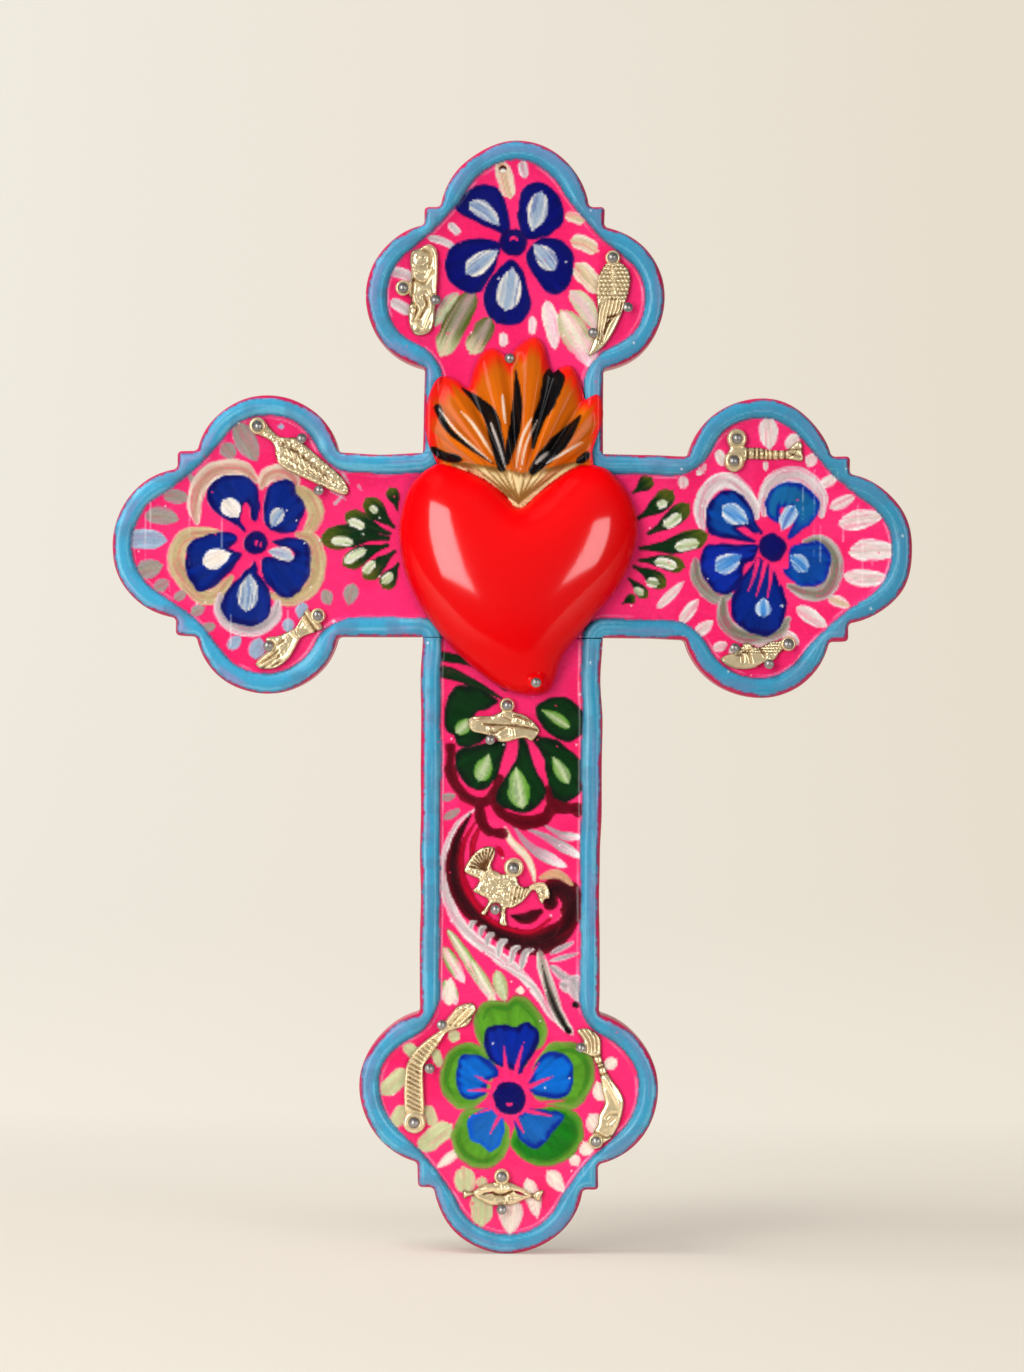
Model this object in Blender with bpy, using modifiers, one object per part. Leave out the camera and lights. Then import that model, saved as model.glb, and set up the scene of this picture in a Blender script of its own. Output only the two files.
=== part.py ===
# Wooden folk cross: two lapped boards, an embossed tin heart, cast charms and the nails that hold them.
# Metres, +Z up, the painted front faces -Y. The origin is on the back of the boards, at the crossing.

import math

import bmesh
import bpy

MM = 0.001
# Points closer than this are the same point
SAME_POINT = 0.001 * MM

# Clearance kept between pieces that touch
SEAT_GAP = 0.3 * MM

# Boards
UPRIGHT_WIDTH = 45.4 * MM
CROSSBAR_WIDTH = 46.3 * MM
BOARD_THICKNESS = 12.0 * MM
LAP_THICKNESS = 6.0 * MM
EDGE_ROUND = 1.2 * MM
TOP_REACH = 102.0 * MM
ARM_REACH = 101.0 * MM
FOOT_REACH = 178.2 * MM

# Lobed finials, the same at all four ends but for a longer foot
END_RADIUS = 18.9 * MM
LOBE_RADIUS = 18.4 * MM
LOBE_SPREAD = 37.7 * MM
LOBE_SETBACK = 39.2 * MM
FOOT_LOBE_RADIUS = 19.4 * MM
FOOT_LOBE_SETBACK = 41.6 * MM
SQUARE_SETBACK = 16.4 * MM

# Raised rim and the field sunk inside it
RIM_WIDTH = 4.8 * MM
RIM_HEIGHT = 2.0 * MM
FIELD_FILLET = 0.7 * MM
FIELD_CUT = 6.0 * MM
SHOULDER_RADIUS = 11.5 * MM
WAIST_RADIUS = 60.0 * MM

# Hole for the wall nail, measured from the top of the upright and from its middle
HANGING_HOLE_RADIUS = 1.0 * MM
HANGING_HOLE_DROP = 6.8 * MM
HANGING_HOLE_OFFSET = -3.2 * MM

# Nails
NAIL_LENGTH = 9.6 * MM
NAIL_SHANK_RADIUS = 0.6 * MM
NAIL_POINT = 1.6 * MM
NAIL_HEAD_RADIUS = 1.25 * MM
NAIL_HEAD_HEIGHT = 0.8 * MM
NAIL_CROWN_RADIUS = 0.75 * MM
NAIL_CROWN_HEIGHT = 0.68 * MM
NAIL_EDGE_HEIGHT = 0.24 * MM

# Charms
CHARM_THICKNESS = 1.6 * MM
CHARM_EDGE_ROUND = 0.35 * MM
RING_HOLE_RADIUS = NAIL_SHANK_RADIUS + SEAT_GAP

# Where the charms' rings stand. In a lobe: in from the side of its field, and along the arm from its middle.
FIGURE_IN = 4.8 * MM
FIGURE_ALONG = 2.0 * MM
WING_IN = 8.3 * MM
WING_ALONG = 10.0 * MM
MAIZE_IN = 3.1 * MM
MAIZE_ALONG = 2.7 * MM
HAND_IN = 15.8 * MM
HAND_ALONG = -13.8 * MM
KEY_IN = 5.4 * MM
KEY_ALONG = -5.6 * MM
SHOE_IN = 8.9 * MM
SHOE_ALONG = 7.8 * MM
SLEEVED_ARM_IN = 9.2 * MM
SLEEVED_ARM_ALONG = 8.6 * MM
BARE_ARM_IN = 10.8 * MM
BARE_ARM_ALONG = 13.1 * MM
# On the shaft and in the foot: aside from its middle, and below the crossing or above the end of the field.
OVAL_ASIDE = -1.1 * MM
OVAL_DROP = 40.0 * MM
TURKEY_ASIDE = 0.9 * MM
TURKEY_DROP = 80.9 * MM
LIPS_ASIDE = -1.5 * MM
LIPS_RISE = 14.7 * MM

# Heart
HEART_HEIGHT = 13.0 * MM
HEART_WALL = 0.7 * MM
HEART_FLANGE = 0.8 * MM
FLAME_HEIGHT = 4.2 * MM
HEART_OFFSET_X = 1.6 * MM
HEART_OFFSET_Z = 0.3 * MM
# The heart's dome is HEART_HEIGHT * (1 - share ** DOME_CROWN) ** DOME_SIDE,
# with share 0 in its middle and 1 at its edge
DOME_CROWN = 2.4
DOME_SIDE = 0.62
# The flames fall from FLAME_HEIGHT to their edge, and a groove is this share of a ridge
FLAME_FALL = 0.6
FLAME_GROOVE = 0.5
# Where the sheet starts to rise to lie over the rim, measured from the rim's inner edge
DRAPE_REACH = 4.0 * MM

# Facets of the round stretches
ARC_STEP = math.radians(17)
NAIL_SIDES = 8
HOLE_SIDES = 8
RING_SIDES = 12
RING_BAND_SIDES = 6
# A heart point this near to the end of the flames, as an angle, is left out
SPOKE_GAP = 0.02
# A ray that passes this share of a side beyond its end still meets it
RAY_SLACK = 1e-9

# Depths, counted from the back (0) towards the front (-Y)
FIELD_Y = -(BOARD_THICKNESS - RIM_HEIGHT)
CHARM_BACK_Y = FIELD_Y - SEAT_GAP
NAIL_SEAT_Y = CHARM_BACK_Y - CHARM_THICKNESS - SEAT_GAP
NAIL_HOLE_RADIUS = NAIL_SHANK_RADIUS + SEAT_GAP

# Outlines of the charms, in millimetres from their ring, as seen from the front
PRAYING_FIGURE = [
    (6.2, 11.1), (7.6, 10.6), (8.5, 9.4), (8.7, 6.9), (8.6, 1.6), (8.2, -3.7), (7.6, -9.4), (6.2, -11.4),
    (3.9, -11.9), (2.5, -11.1), (1.6, -8.8), (1.4, -5.5), (2.0, -3.0), (1.2, -0.9), (1.2, 0.9), (2.0, 2.6),
    (1.9, 5.1), (1.7, 7.2), (2.2, 9.2), (4.2, 10.1),
]
WING = [
    (0.0, -0.9), (1.3, -0.9), (2.5, -1.5), (4.0, -2.9), (4.5, -5.0), (4.3, -7.7), (3.5, -10.6),
    (2.5, -13.6), (1.7, -15.8), (0.6, -18.1), (-1.0, -20.9), (-3.1, -23.2), (-5.0, -24.3), (-5.9, -24.6),
    (-5.3, -22.6), (-4.4, -20.0), (-3.8, -16.9), (-3.6, -12.7), (-3.9, -10.6), (-4.0, -7.7), (-3.6, -4.8),
    (-2.7, -2.9), (-1.5, -1.3),
]
MAIZE = [
    (-2.0, 0.4), (-1.2, 1.6), (0.2, 2.0), (1.6, 1.4), (2.6, 0.3), (3.8, -1.2), (5.5, -2.6), (7.8, -2.9),
    (9.7, -2.9), (12.6, -5.2), (15.5, -7.7), (19.0, -10.6), (21.3, -12.7), (23.0, -15.6), (22.6, -17.1),
    (21.3, -17.1), (18.4, -16.0), (14.7, -14.4), (10.5, -12.4), (7.8, -11.2), (5.5, -9.4), (4.7, -7.7),
    (4.4, -5.6), (3.6, -4.0), (1.6, -2.8), (-0.4, -2.0), (-1.7, -1.0),
]
HAND = [
    (-3.7, 0.9), (-2.2, -0.3), (-0.6, -2.0), (0.3, -3.8), (-0.4, -4.4), (-2.6, -5.3), (-5.1, -6.4),
    (-6.5, -8.8), (-7.6, -10.8), (-9.2, -12.6), (-11.2, -13.9), (-13.0, -14.3), (-15.2, -14.2),
    (-16.5, -13.2), (-16.1, -12.2), (-14.8, -10.9), (-13.2, -9.5), (-12.2, -8.4), (-12.7, -7.7),
    (-13.9, -7.3), (-13.9, -6.6), (-12.9, -6.2), (-11.1, -6.0), (-9.4, -5.3), (-7.6, -4.4), (-6.5, -3.9),
    (-5.1, -1.4),
]
KEY = [
    (-2.4, -0.4), (-1.6, 1.6), (0.0, 2.4), (1.8, 1.8), (2.6, 0.0), (2.0, -1.9), (3.2, -2.2), (5.5, -2.2),
    (8.7, -2.8), (12.6, -2.7), (14.0, -1.6), (15.6, -0.4), (16.5, -1.2), (16.5, -2.9), (16.5, -5.4),
    (12.8, -5.0), (7.9, -5.2), (3.4, -5.1), (2.2, -5.6), (1.6, -7.2), (-0.5, -8.4), (-2.6, -7.4),
    (-3.2, -5.4), (-2.2, -3.4), (-1.8, -2.4),
]
SHOE = [
    (-1.0, 1.0), (-2.8, 0.6), (-4.3, 0.5), (-5.5, -0.2), (-7.0, -0.9), (-8.4, -0.9), (-9.9, 0.1),
    (-11.0, 0.1), (-12.0, -1.0), (-13.2, -2.2), (-15.4, -2.9), (-17.0, -3.9), (-16.3, -5.0), (-14.8, -5.9),
    (-12.8, -6.4), (-10.4, -6.5), (-8.1, -6.0), (-5.9, -4.8), (-3.6, -4.1), (-2.4, -2.6), (-1.2, -1.2),
]
OVAL = [
    (-0.6, -1.0), (-2.3, -2.1), (-4.3, -2.8), (-8.0, -2.9), (-9.6, -3.6), (-9.7, -5.1), (-8.7, -6.7),
    (-6.3, -7.3), (-4.3, -7.8), (-2.8, -8.3), (-1.9, -9.3), (0.4, -9.2), (2.9, -8.5), (4.6, -8.3),
    (6.2, -9.0), (7.5, -7.8), (8.2, -6.5), (7.7, -5.3), (6.3, -3.8), (4.1, -2.4), (2.1, -1.8), (0.6, -1.0),
]
TURKEY = [
    (-4.8, 4.6), (-6.5, 5.3), (-8.9, 4.4), (-10.7, 2.6), (-12.0, 0.6), (-12.4, -1.1), (-10.6, -2.2),
    (-8.7, -3.1), (-9.2, -4.6), (-10.2, -5.9), (-8.5, -7.0), (-6.4, -8.1), (-7.0, -10.0), (-8.2, -11.5),
    (-7.1, -12.0), (-5.7, -9.8), (-4.3, -9.0), (-3.4, -9.8), (-3.3, -11.8), (-3.4, -14.3), (-1.6, -14.6),
    (-1.9, -12.7), (-1.8, -10.4), (-0.4, -10.2), (1.8, -9.0), (3.5, -7.2), (4.9, -5.7), (5.8, -6.4),
    (6.5, -8.2), (7.3, -9.1), (8.0, -8.0), (9.0, -7.6), (9.0, -5.9), (8.1, -4.1), (6.6, -3.6), (4.6, -4.2),
    (3.0, -5.0), (1.4, -4.3), (0.6, -2.0), (-1.2, -1.6), (-3.0, -1.7), (-4.1, -1.1), (-5.2, -0.6),
    (-5.7, 0.6), (-5.0, 2.4),
]
SLEEVED_ARM = [
    (-1.9, 1.6), (-2.4, 3.5), (-2.6, 7.6), (-2.3, 12.7), (-1.4, 15.8), (0.6, 18.6), (3.5, 21.2),
    (6.3, 23.2), (7.6, 25.5), (9.1, 27.3), (10.7, 29.1), (12.7, 29.9), (14.5, 30.0), (15.4, 28.6),
    (14.6, 27.1), (14.2, 25.8), (13.0, 24.3), (10.1, 23.4), (7.6, 22.2), (5.8, 19.1), (3.7, 16.3),
    (2.4, 14.2), (2.2, 11.2), (2.4, 7.6), (2.6, 3.2), (1.9, 1.6),
]
BARE_ARM = [
    (-4.9, 27.7), (-3.7, 28.4), (-1.8, 28.2), (-0.1, 27.1), (1.0, 25.6), (1.1, 22.3), (1.4, 20.6),
    (2.6, 17.7), (3.7, 15.8), (5.7, 13.1), (6.9, 10.5), (6.6, 7.3), (5.7, 4.2), (4.2, 1.3), (2.8, 0.0),
    (1.0, -0.9), (-0.8, 0.8), (-0.5, 2.4), (0.4, 4.2), (0.8, 6.6), (2.2, 9.5), (1.6, 12.4), (1.0, 16.3),
    (0.3, 18.7), (-0.8, 20.8), (-2.5, 22.0), (-5.2, 23.0), (-5.0, 23.9), (-3.4, 24.6), (-3.6, 25.9),
]
LIPS = [
    (-1.0, -1.2), (-2.2, -1.6), (-4.6, -2.2), (-7.3, -3.8), (-8.6, -3.9), (-9.7, -3.7), (-9.5, -5.7),
    (-8.4, -5.1), (-7.1, -5.0), (-4.6, -6.4), (-2.5, -7.4), (0.1, -7.2), (2.8, -7.2), (6.0, -5.7),
    (7.7, -5.4), (9.4, -6.3), (10.0, -5.0), (10.5, -3.6), (9.3, -3.5), (7.7, -4.3), (5.1, -2.9),
    (2.4, -1.6), (1.0, -1.2),
]

# Rings of the charms as (x, z, outer radius), and the nails beside their edges, from the same points
PRAYING_FIGURE_RINGS = [(0.0, 0.0, 2.0)]
PRAYING_FIGURE_NAILS = [(8.3, -3.0)]
WING_RINGS = [(0.0, 0.0, 1.9)]
WING_NAILS = [(3.9, -12.5), (-4.9, -19.0)]
MAIZE_RINGS = [(0.0, 0.0, 2.2)]
MAIZE_NAILS = [(11.2, -3.1), (15.6, -16.2)]
HAND_RINGS = [(-0.9, -0.75, 1.9)]
HAND_NAILS = [(-13.3, -8.6)]
KEY_RINGS = [(0.0, 0.0, 2.5), (-0.6, -5.5, 2.5)]
SHOE_RINGS = [(0.0, 0.0, 1.9)]
SHOE_NAILS = [(-4.9, -5.2), (-13.5, -1.2)]
OVAL_RINGS = [(0.0, 0.0, 1.9)]
OVAL_NAILS = [(-4.2, -8.8)]
TURKEY_RINGS = [(0.0, 0.0, 2.5)]
TURKEY_NAILS = [(-4.6, -10.6)]
SLEEVED_ARM_RINGS = [(0.0, 0.0, 2.9)]
SLEEVED_ARM_NAILS = [(6.8, 24.6), (3.8, 13.6)]
BARE_ARM_RINGS = [(0.0, 0.0, 1.9)]
BARE_ARM_NAILS = [(-4.0, 23.7)]
LIPS_RINGS = [(0.0, 0.0, 2.0)]
LIPS_NAILS = [(0.0, -8.2)]

# Outlines of the heart and of the flames over it, in millimetres from the heart's middle.
# A flame point's third value is 1 on the ridge of a flame and 0 in the groove between two.
HEART = [
    (18.5, 20.3), (14.1, 20.0), (8.9, 16.8), (4.4, 13.0), (0.0, 9.4), (-3.9, 13.0), (-9.0, 16.8),
    (-15.5, 19.4), (-20.9, 20.3), (-25.1, 17.5), (-28.3, 13.0), (-30.2, 5.3), (-30.0, -0.6), (-28.6, -7.4),
    (-25.0, -15.2), (-23.0, -18.5), (-20.5, -21.5), (-18.2, -24.5), (-15.6, -27.2), (-9.1, -32.8),
    (-4.0, -36.0), (1.2, -37.7), (4.6, -37.9), (7.0, -37.2), (8.4, -35.9), (9.4, -33.4), (10.5, -29.8),
    (12.2, -26.4), (15.6, -22.2), (20.5, -16.2), (24.9, -10.6), (27.8, -4.8), (29.7, 2.1), (29.5, 7.8),
    (27.9, 12.3), (25.3, 16.2), (22.1, 19.1),
]
FLAMES = [
    (18.2, 23.7, 0.0), (19.8, 28.4, 0.6), (20.9, 32.2, 0.9), (20.6, 36.1, 1.0), (19.5, 37.9, 0.8),
    (17.9, 37.5, 0.4), (16.4, 36.7, 0.0), (15.9, 38.3, 0.4), (14.7, 42.5, 0.9), (12.8, 45.2, 1.0),
    (10.2, 44.9, 0.5), (8.2, 43.5, 0.0), (7.0, 46.3, 0.4), (6.0, 50.2, 0.9), (4.1, 52.3, 1.0),
    (1.9, 52.0, 0.9), (-1.3, 49.5, 0.4), (-2.8, 46.9, 0.0), (-6.5, 49.5, 0.9), (-9.7, 48.3, 1.0),
    (-11.9, 43.8, 0.5), (-13.2, 39.6, 0.0), (-16.1, 41.5, 0.6), (-19.3, 42.4, 1.0), (-21.6, 40.6, 1.0),
    (-23.3, 36.1, 0.5), (-23.9, 30.9, 0.8), (-23.2, 25.8, 0.6), (-21.9, 22.6, 0.0),
]
# The heart's nails: where they stand, and how far their heads stay off the sheet to clear its slope
HEART_NAILS = [(-2.8, 46.9, 0.9), (4.5, -34.6, 1.8)]


def half_finial(half_width, reach, lobe, setback, inset, shoulder, waist):
    """Half an arm's outline as (along, across) points, from its straight edge to its tip.

    inset moves the outline inwards. With shoulder and waist radii the corners become smooth curves;
    without them the outline keeps its square shoulder and its small square corner beside the end round.
    """
    lobe_at = reach - setback
    lobe_across = LOBE_SPREAD - lobe
    lobe_radius = lobe - inset
    end_at = reach - END_RADIUS
    end_radius = END_RADIUS - inset
    edge = half_width - inset
    if shoulder:
        spread = lobe_radius + shoulder
        rise = edge + shoulder - lobe_across
        centre = (lobe_at - math.sqrt(spread**2 - rise**2), edge + shoulder)
        turn = math.atan2(lobe_across - centre[1], lobe_at - centre[0])
        points = arc(centre, shoulder, -math.pi / 2, turn)[:-1]
        lobe_start = turn - math.pi
        gap = math.hypot(end_at - lobe_at, lobe_across)
        lobe_side = lobe_radius + waist
        end_side = end_radius + waist
        share = (lobe_side**2 - end_side**2 + gap**2) / (2 * gap)
        height = math.sqrt(lobe_side**2 - share**2)
        toward = ((end_at - lobe_at) / gap, -lobe_across / gap)
        centre = (
            lobe_at + toward[0] * share - toward[1] * height,
            lobe_across + toward[1] * share + toward[0] * height,
        )
        lobe_end = math.atan2(centre[1] - lobe_across, centre[0] - lobe_at)
        end_start = math.atan2(centre[1], centre[0] - end_at)
        points += arc((lobe_at, lobe_across), lobe_radius, lobe_start + 2 * math.pi, lobe_end)[:-1]
        points += arc(centre, waist, lobe_end - math.pi, end_start - math.pi)[:-1]
    else:
        reach_in = math.asin((edge - lobe_across) / lobe_radius)
        points = arc((lobe_at, lobe_across), lobe_radius, math.pi - reach_in, reach_in)
        square_at = reach - SQUARE_SETBACK
        end_start = math.acos((square_at - end_at) / end_radius)
        points.append((square_at, edge))
    points += arc((end_at, 0.0), end_radius, end_start, 0.0)
    return points


def arc(centre, radius, start, stop):
    """Points on an arc, both ends included."""
    steps = max(2, math.ceil(abs(stop - start) / ARC_STEP))
    angles = [start + (stop - start) * step / steps for step in range(steps + 1)]
    return [(centre[0] + radius * math.cos(a), centre[1] + radius * math.sin(a)) for a in angles]


def arms(inset=0.0, shoulder=0.0, waist=0.0):
    """The half outlines of the top, foot and side arms."""
    upright = UPRIGHT_WIDTH / 2
    crossbar = CROSSBAR_WIDTH / 2
    top = half_finial(upright, TOP_REACH, LOBE_RADIUS, LOBE_SETBACK, inset, shoulder, waist)
    foot = half_finial(upright, FOOT_REACH, FOOT_LOBE_RADIUS, FOOT_LOBE_SETBACK, inset, shoulder, waist)
    side = half_finial(crossbar, ARM_REACH, LOBE_RADIUS, LOBE_SETBACK, inset, shoulder, waist)
    return top, foot, side


def upright_outline():
    top, foot, _ = arms()
    right = [(v, -u) for u, v in reversed(foot)] + [(v, u) for u, v in top]
    return right[:-1] + [(-x, z) for x, z in reversed(right[1:])]


def crossbar_outline():
    _, _, side = arms()
    upper = [(-u, v) for u, v in reversed(side)] + list(side)
    return upper[:-1] + [(x, -z) for x, z in reversed(upper[1:])]


def field_outline():
    """The sunk field of all four arms in one outline, rounded where the rim turns from arm to arm."""
    top, foot, side = arms(RIM_WIDTH, SHOULDER_RADIUS, WAIST_RADIUS)
    corner = (UPRIGHT_WIDTH / 2, CROSSBAR_WIDTH / 2)
    turn = arc(corner, RIM_WIDTH, math.pi, 1.5 * math.pi)
    upper = [(v, u) for u, v in reversed(top)] + turn + list(side)
    lower = [(v, -u) for u, v in reversed(foot)] + [(x, -z) for x, z in turn] + [(u, -v) for u, v in side]
    right = upper[:-1] + list(reversed(lower))
    return right[:-1] + [(-x, z) for x, z in reversed(right[1:])]


def collection(name):
    made = bpy.data.collections.new(name)
    bpy.context.scene.collection.children.link(made)
    return made


def material(name, colour, roughness, metallic=0.0):
    made = bpy.data.materials.new(name)
    made.use_nodes = True
    shader = made.node_tree.nodes["Principled BSDF"]
    shader.inputs["Base Color"].default_value = (*colour, 1.0)
    shader.inputs["Roughness"].default_value = roughness
    shader.inputs["Metallic"].default_value = metallic
    return made


def weld(mesh):
    """Joins the loose caps of a converted curve, makes each one face, and turns the faces outwards."""
    shape = bmesh.new()
    shape.from_mesh(mesh)
    bmesh.ops.remove_doubles(shape, verts=shape.verts, dist=SAME_POINT)
    level = max(point.co.z for point in shape.verts) - SAME_POINT
    caps = [face for face in shape.faces if min(abs(point.co.z) for point in face.verts) > level]
    caps = [face for face in caps if len({point.co.z > 0 for point in face.verts}) == 1]
    bmesh.ops.delete(shape, geom=caps, context="FACES_KEEP_BOUNDARY")
    bmesh.ops.holes_fill(shape, edges=shape.edges, sides=0)
    bmesh.ops.recalc_face_normals(shape, faces=shape.faces)
    shape.to_mesh(mesh)
    shape.free()


def flat_solid(name, outline, back, thickness, edge_round=0.0, smooth=False):
    """An upright plate cut to an outline of (x, z) points, with its back at the given depth."""
    curve = bpy.data.curves.new(name, "CURVE")
    curve.dimensions = "2D"
    curve.fill_mode = "BOTH"
    curve.extrude = thickness / 2 - edge_round
    curve.bevel_depth = edge_round
    curve.bevel_resolution = 0 if smooth else 1
    curve.offset = -edge_round
    curve.resolution_u = 2
    spline = curve.splines.new("BEZIER" if smooth else "POLY")
    spline.use_cyclic_u = True
    if smooth:
        spline.bezier_points.add(len(outline) - 1)
        for point, (x, z) in zip(spline.bezier_points, outline):
            point.co = (x, z, 0.0)
            point.handle_left_type = "AUTO"
            point.handle_right_type = "AUTO"
    else:
        spline.points.add(len(outline) - 1)
        for point, (x, z) in zip(spline.points, outline):
            point.co = (x, z, 0.0, 1.0)
    holder = bpy.data.objects.new(name + "_outline", curve)
    holder.rotation_euler = (math.pi / 2, 0.0, 0.0)
    holder.location = (0.0, back - thickness / 2, 0.0)
    bpy.context.scene.collection.objects.link(holder)
    bpy.context.view_layer.update()
    graph = bpy.context.evaluated_depsgraph_get()
    mesh = bpy.data.meshes.new_from_object(holder.evaluated_get(graph))
    mesh.name = name
    weld(mesh)
    made = bpy.data.objects.new(name, mesh)
    made.matrix_world = holder.matrix_world
    bpy.data.objects.remove(holder)
    return made


def place(made, home, finish=None):
    """Puts an object into its collection only, with its material."""
    for group in list(made.users_collection):
        group.objects.unlink(made)
    home.objects.link(made)
    if finish:
        made.data.materials.clear()
        made.data.materials.append(finish)
    return made


def as_cutter(made, name):
    made.name = name
    made.hide_render = True
    made.display_type = "WIRE"
    return place(made, cutters)


def cut(target, cutter, operation="DIFFERENCE"):
    modifier = target.modifiers.new(cutter.name, "BOOLEAN")
    modifier.operation = operation
    modifier.object = cutter


def drill(target, name, x, z, radius, front, back):
    """Cuts a round hole along Y between two depths."""
    bpy.ops.mesh.primitive_cylinder_add(
        vertices=HOLE_SIDES,
        radius=radius,
        depth=back - front,
        location=(x, (front + back) / 2, z),
        rotation=(math.pi / 2, 0.0, 0.0),
    )
    cut(target, as_cutter(bpy.context.object, name))


def nail_mesh():
    """Half a nail's outline, from the top of its head down to its point."""
    profile = [
        (0.0, NAIL_HEAD_HEIGHT),
        (NAIL_CROWN_RADIUS, NAIL_CROWN_HEIGHT),
        (NAIL_HEAD_RADIUS, NAIL_EDGE_HEIGHT),
        (NAIL_HEAD_RADIUS, 0.0),
        (NAIL_SHANK_RADIUS, 0.0),
        (NAIL_SHANK_RADIUS, NAIL_POINT - NAIL_LENGTH),
        (0.0, -NAIL_LENGTH),
    ]
    mesh = bpy.data.meshes.new("nail")
    shape = bmesh.new()
    points = [shape.verts.new((x, 0.0, z)) for x, z in profile]
    for upper, lower in zip(points, points[1:]):
        shape.edges.new((upper, lower))
    shape.to_mesh(mesh)
    shape.free()
    mesh.materials.append(steel)
    return mesh


def add_nail(name, board, x, z, seat):
    """A nail whose head rests at the given depth, with the hole that it makes in its board."""
    made = bpy.data.objects.new(name, nail)
    made.location = (x, seat, z)
    made.rotation_euler = (math.pi / 2, 0.0, 0.0)
    turned = made.modifiers.new("turned", "SCREW")
    turned.axis = "Z"
    turned.angle = 2 * math.pi
    turned.steps = NAIL_SIDES
    turned.render_steps = NAIL_SIDES
    turned.use_merge_vertices = True
    turned.merge_threshold = SAME_POINT
    place(made, parts)
    drill(board, name + "_hole", x, z, NAIL_HOLE_RADIUS, FIELD_Y - SEAT_GAP, seat + NAIL_LENGTH + SEAT_GAP)


def add_charm(name, board, outline, x, z, rings, edge_nails):
    """A cast charm with its rings, nailed through them and beside its edges.

    The outline, rings and nails are in millimetres from (x, z). A ring is (x, z, outer radius).
    """
    points = [(x + px * MM, z + pz * MM) for px, pz in outline]
    charm = flat_solid(name, points, CHARM_BACK_Y, CHARM_THICKNESS, CHARM_EDGE_ROUND, smooth=True)
    place(charm, parts, gold)
    title = name.removesuffix("_charm")
    for number, (px, pz, outer) in enumerate(rings, 1):
        at_x = x + px * MM
        at_z = z + pz * MM
        band = outer * MM - RING_HOLE_RADIUS
        middle = RING_HOLE_RADIUS + band / 2
        drill(charm, f"{title}_ring_{number}_room", at_x, at_z, middle, NAIL_SEAT_Y, FIELD_Y)
        bpy.ops.mesh.primitive_torus_add(
            major_segments=RING_SIDES,
            minor_segments=RING_BAND_SIDES,
            major_radius=middle,
            minor_radius=band / 2,
            location=(at_x, CHARM_BACK_Y - CHARM_THICKNESS / 2, at_z),
            rotation=(math.pi / 2, 0.0, 0.0),
        )
        ring = bpy.context.object
        ring.scale.z = CHARM_THICKNESS / (band * math.cos(math.pi / RING_BAND_SIDES))
        cut(charm, as_cutter(ring, f"{title}_ring_{number}"), "UNION")
        add_nail(f"{title}_ring_nail_{number}", board, at_x, at_z, NAIL_SEAT_Y)
    for number, (px, pz) in enumerate(edge_nails, 1):
        at_x = x + px * MM
        at_z = z + pz * MM
        drill(charm, f"{title}_edge_{number}_room", at_x, at_z, NAIL_HOLE_RADIUS, NAIL_SEAT_Y, FIELD_Y)
        add_nail(f"{title}_edge_nail_{number}", board, at_x, at_z, NAIL_SEAT_Y)


def rim_reach(x, z):
    """How far a point near the crossing lies over the rim: negative over the field."""
    half_upright = UPRIGHT_WIDTH / 2
    half_crossbar = CROSSBAR_WIDTH / 2
    if abs(z) >= half_crossbar:
        return abs(x) - (half_upright - RIM_WIDTH)
    if abs(x) >= half_upright:
        return abs(z) - (half_crossbar - RIM_WIDTH)
    return RIM_WIDTH - math.hypot(half_upright - abs(x), half_crossbar - abs(z))


def ramp(value):
    value = min(max(value, 0.0), 1.0)
    return value * value * (3 - 2 * value)


def radius_at(outline, angle):
    """Where a ray from the middle meets a closed outline."""
    ray = (math.cos(angle), math.sin(angle))
    best = 0.0
    for first, second in zip(outline, outline[1:] + outline[:1]):
        run = (second[0] - first[0], second[1] - first[1])
        below = ray[0] * run[1] - ray[1] * run[0]
        if below == 0:
            continue
        along = (first[0] * ray[1] - first[1] * ray[0]) / below
        away = (first[0] * run[1] - first[1] * run[0]) / below
        if -RAY_SLACK <= along <= 1 + RAY_SLACK:
            best = max(best, away)
    return best


def heart_outline():
    return [(x * MM, z * MM) for x, z in HEART]


def dome_height(share):
    return HEART_HEIGHT * (1 - share**DOME_CROWN) ** DOME_SIDE


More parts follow.
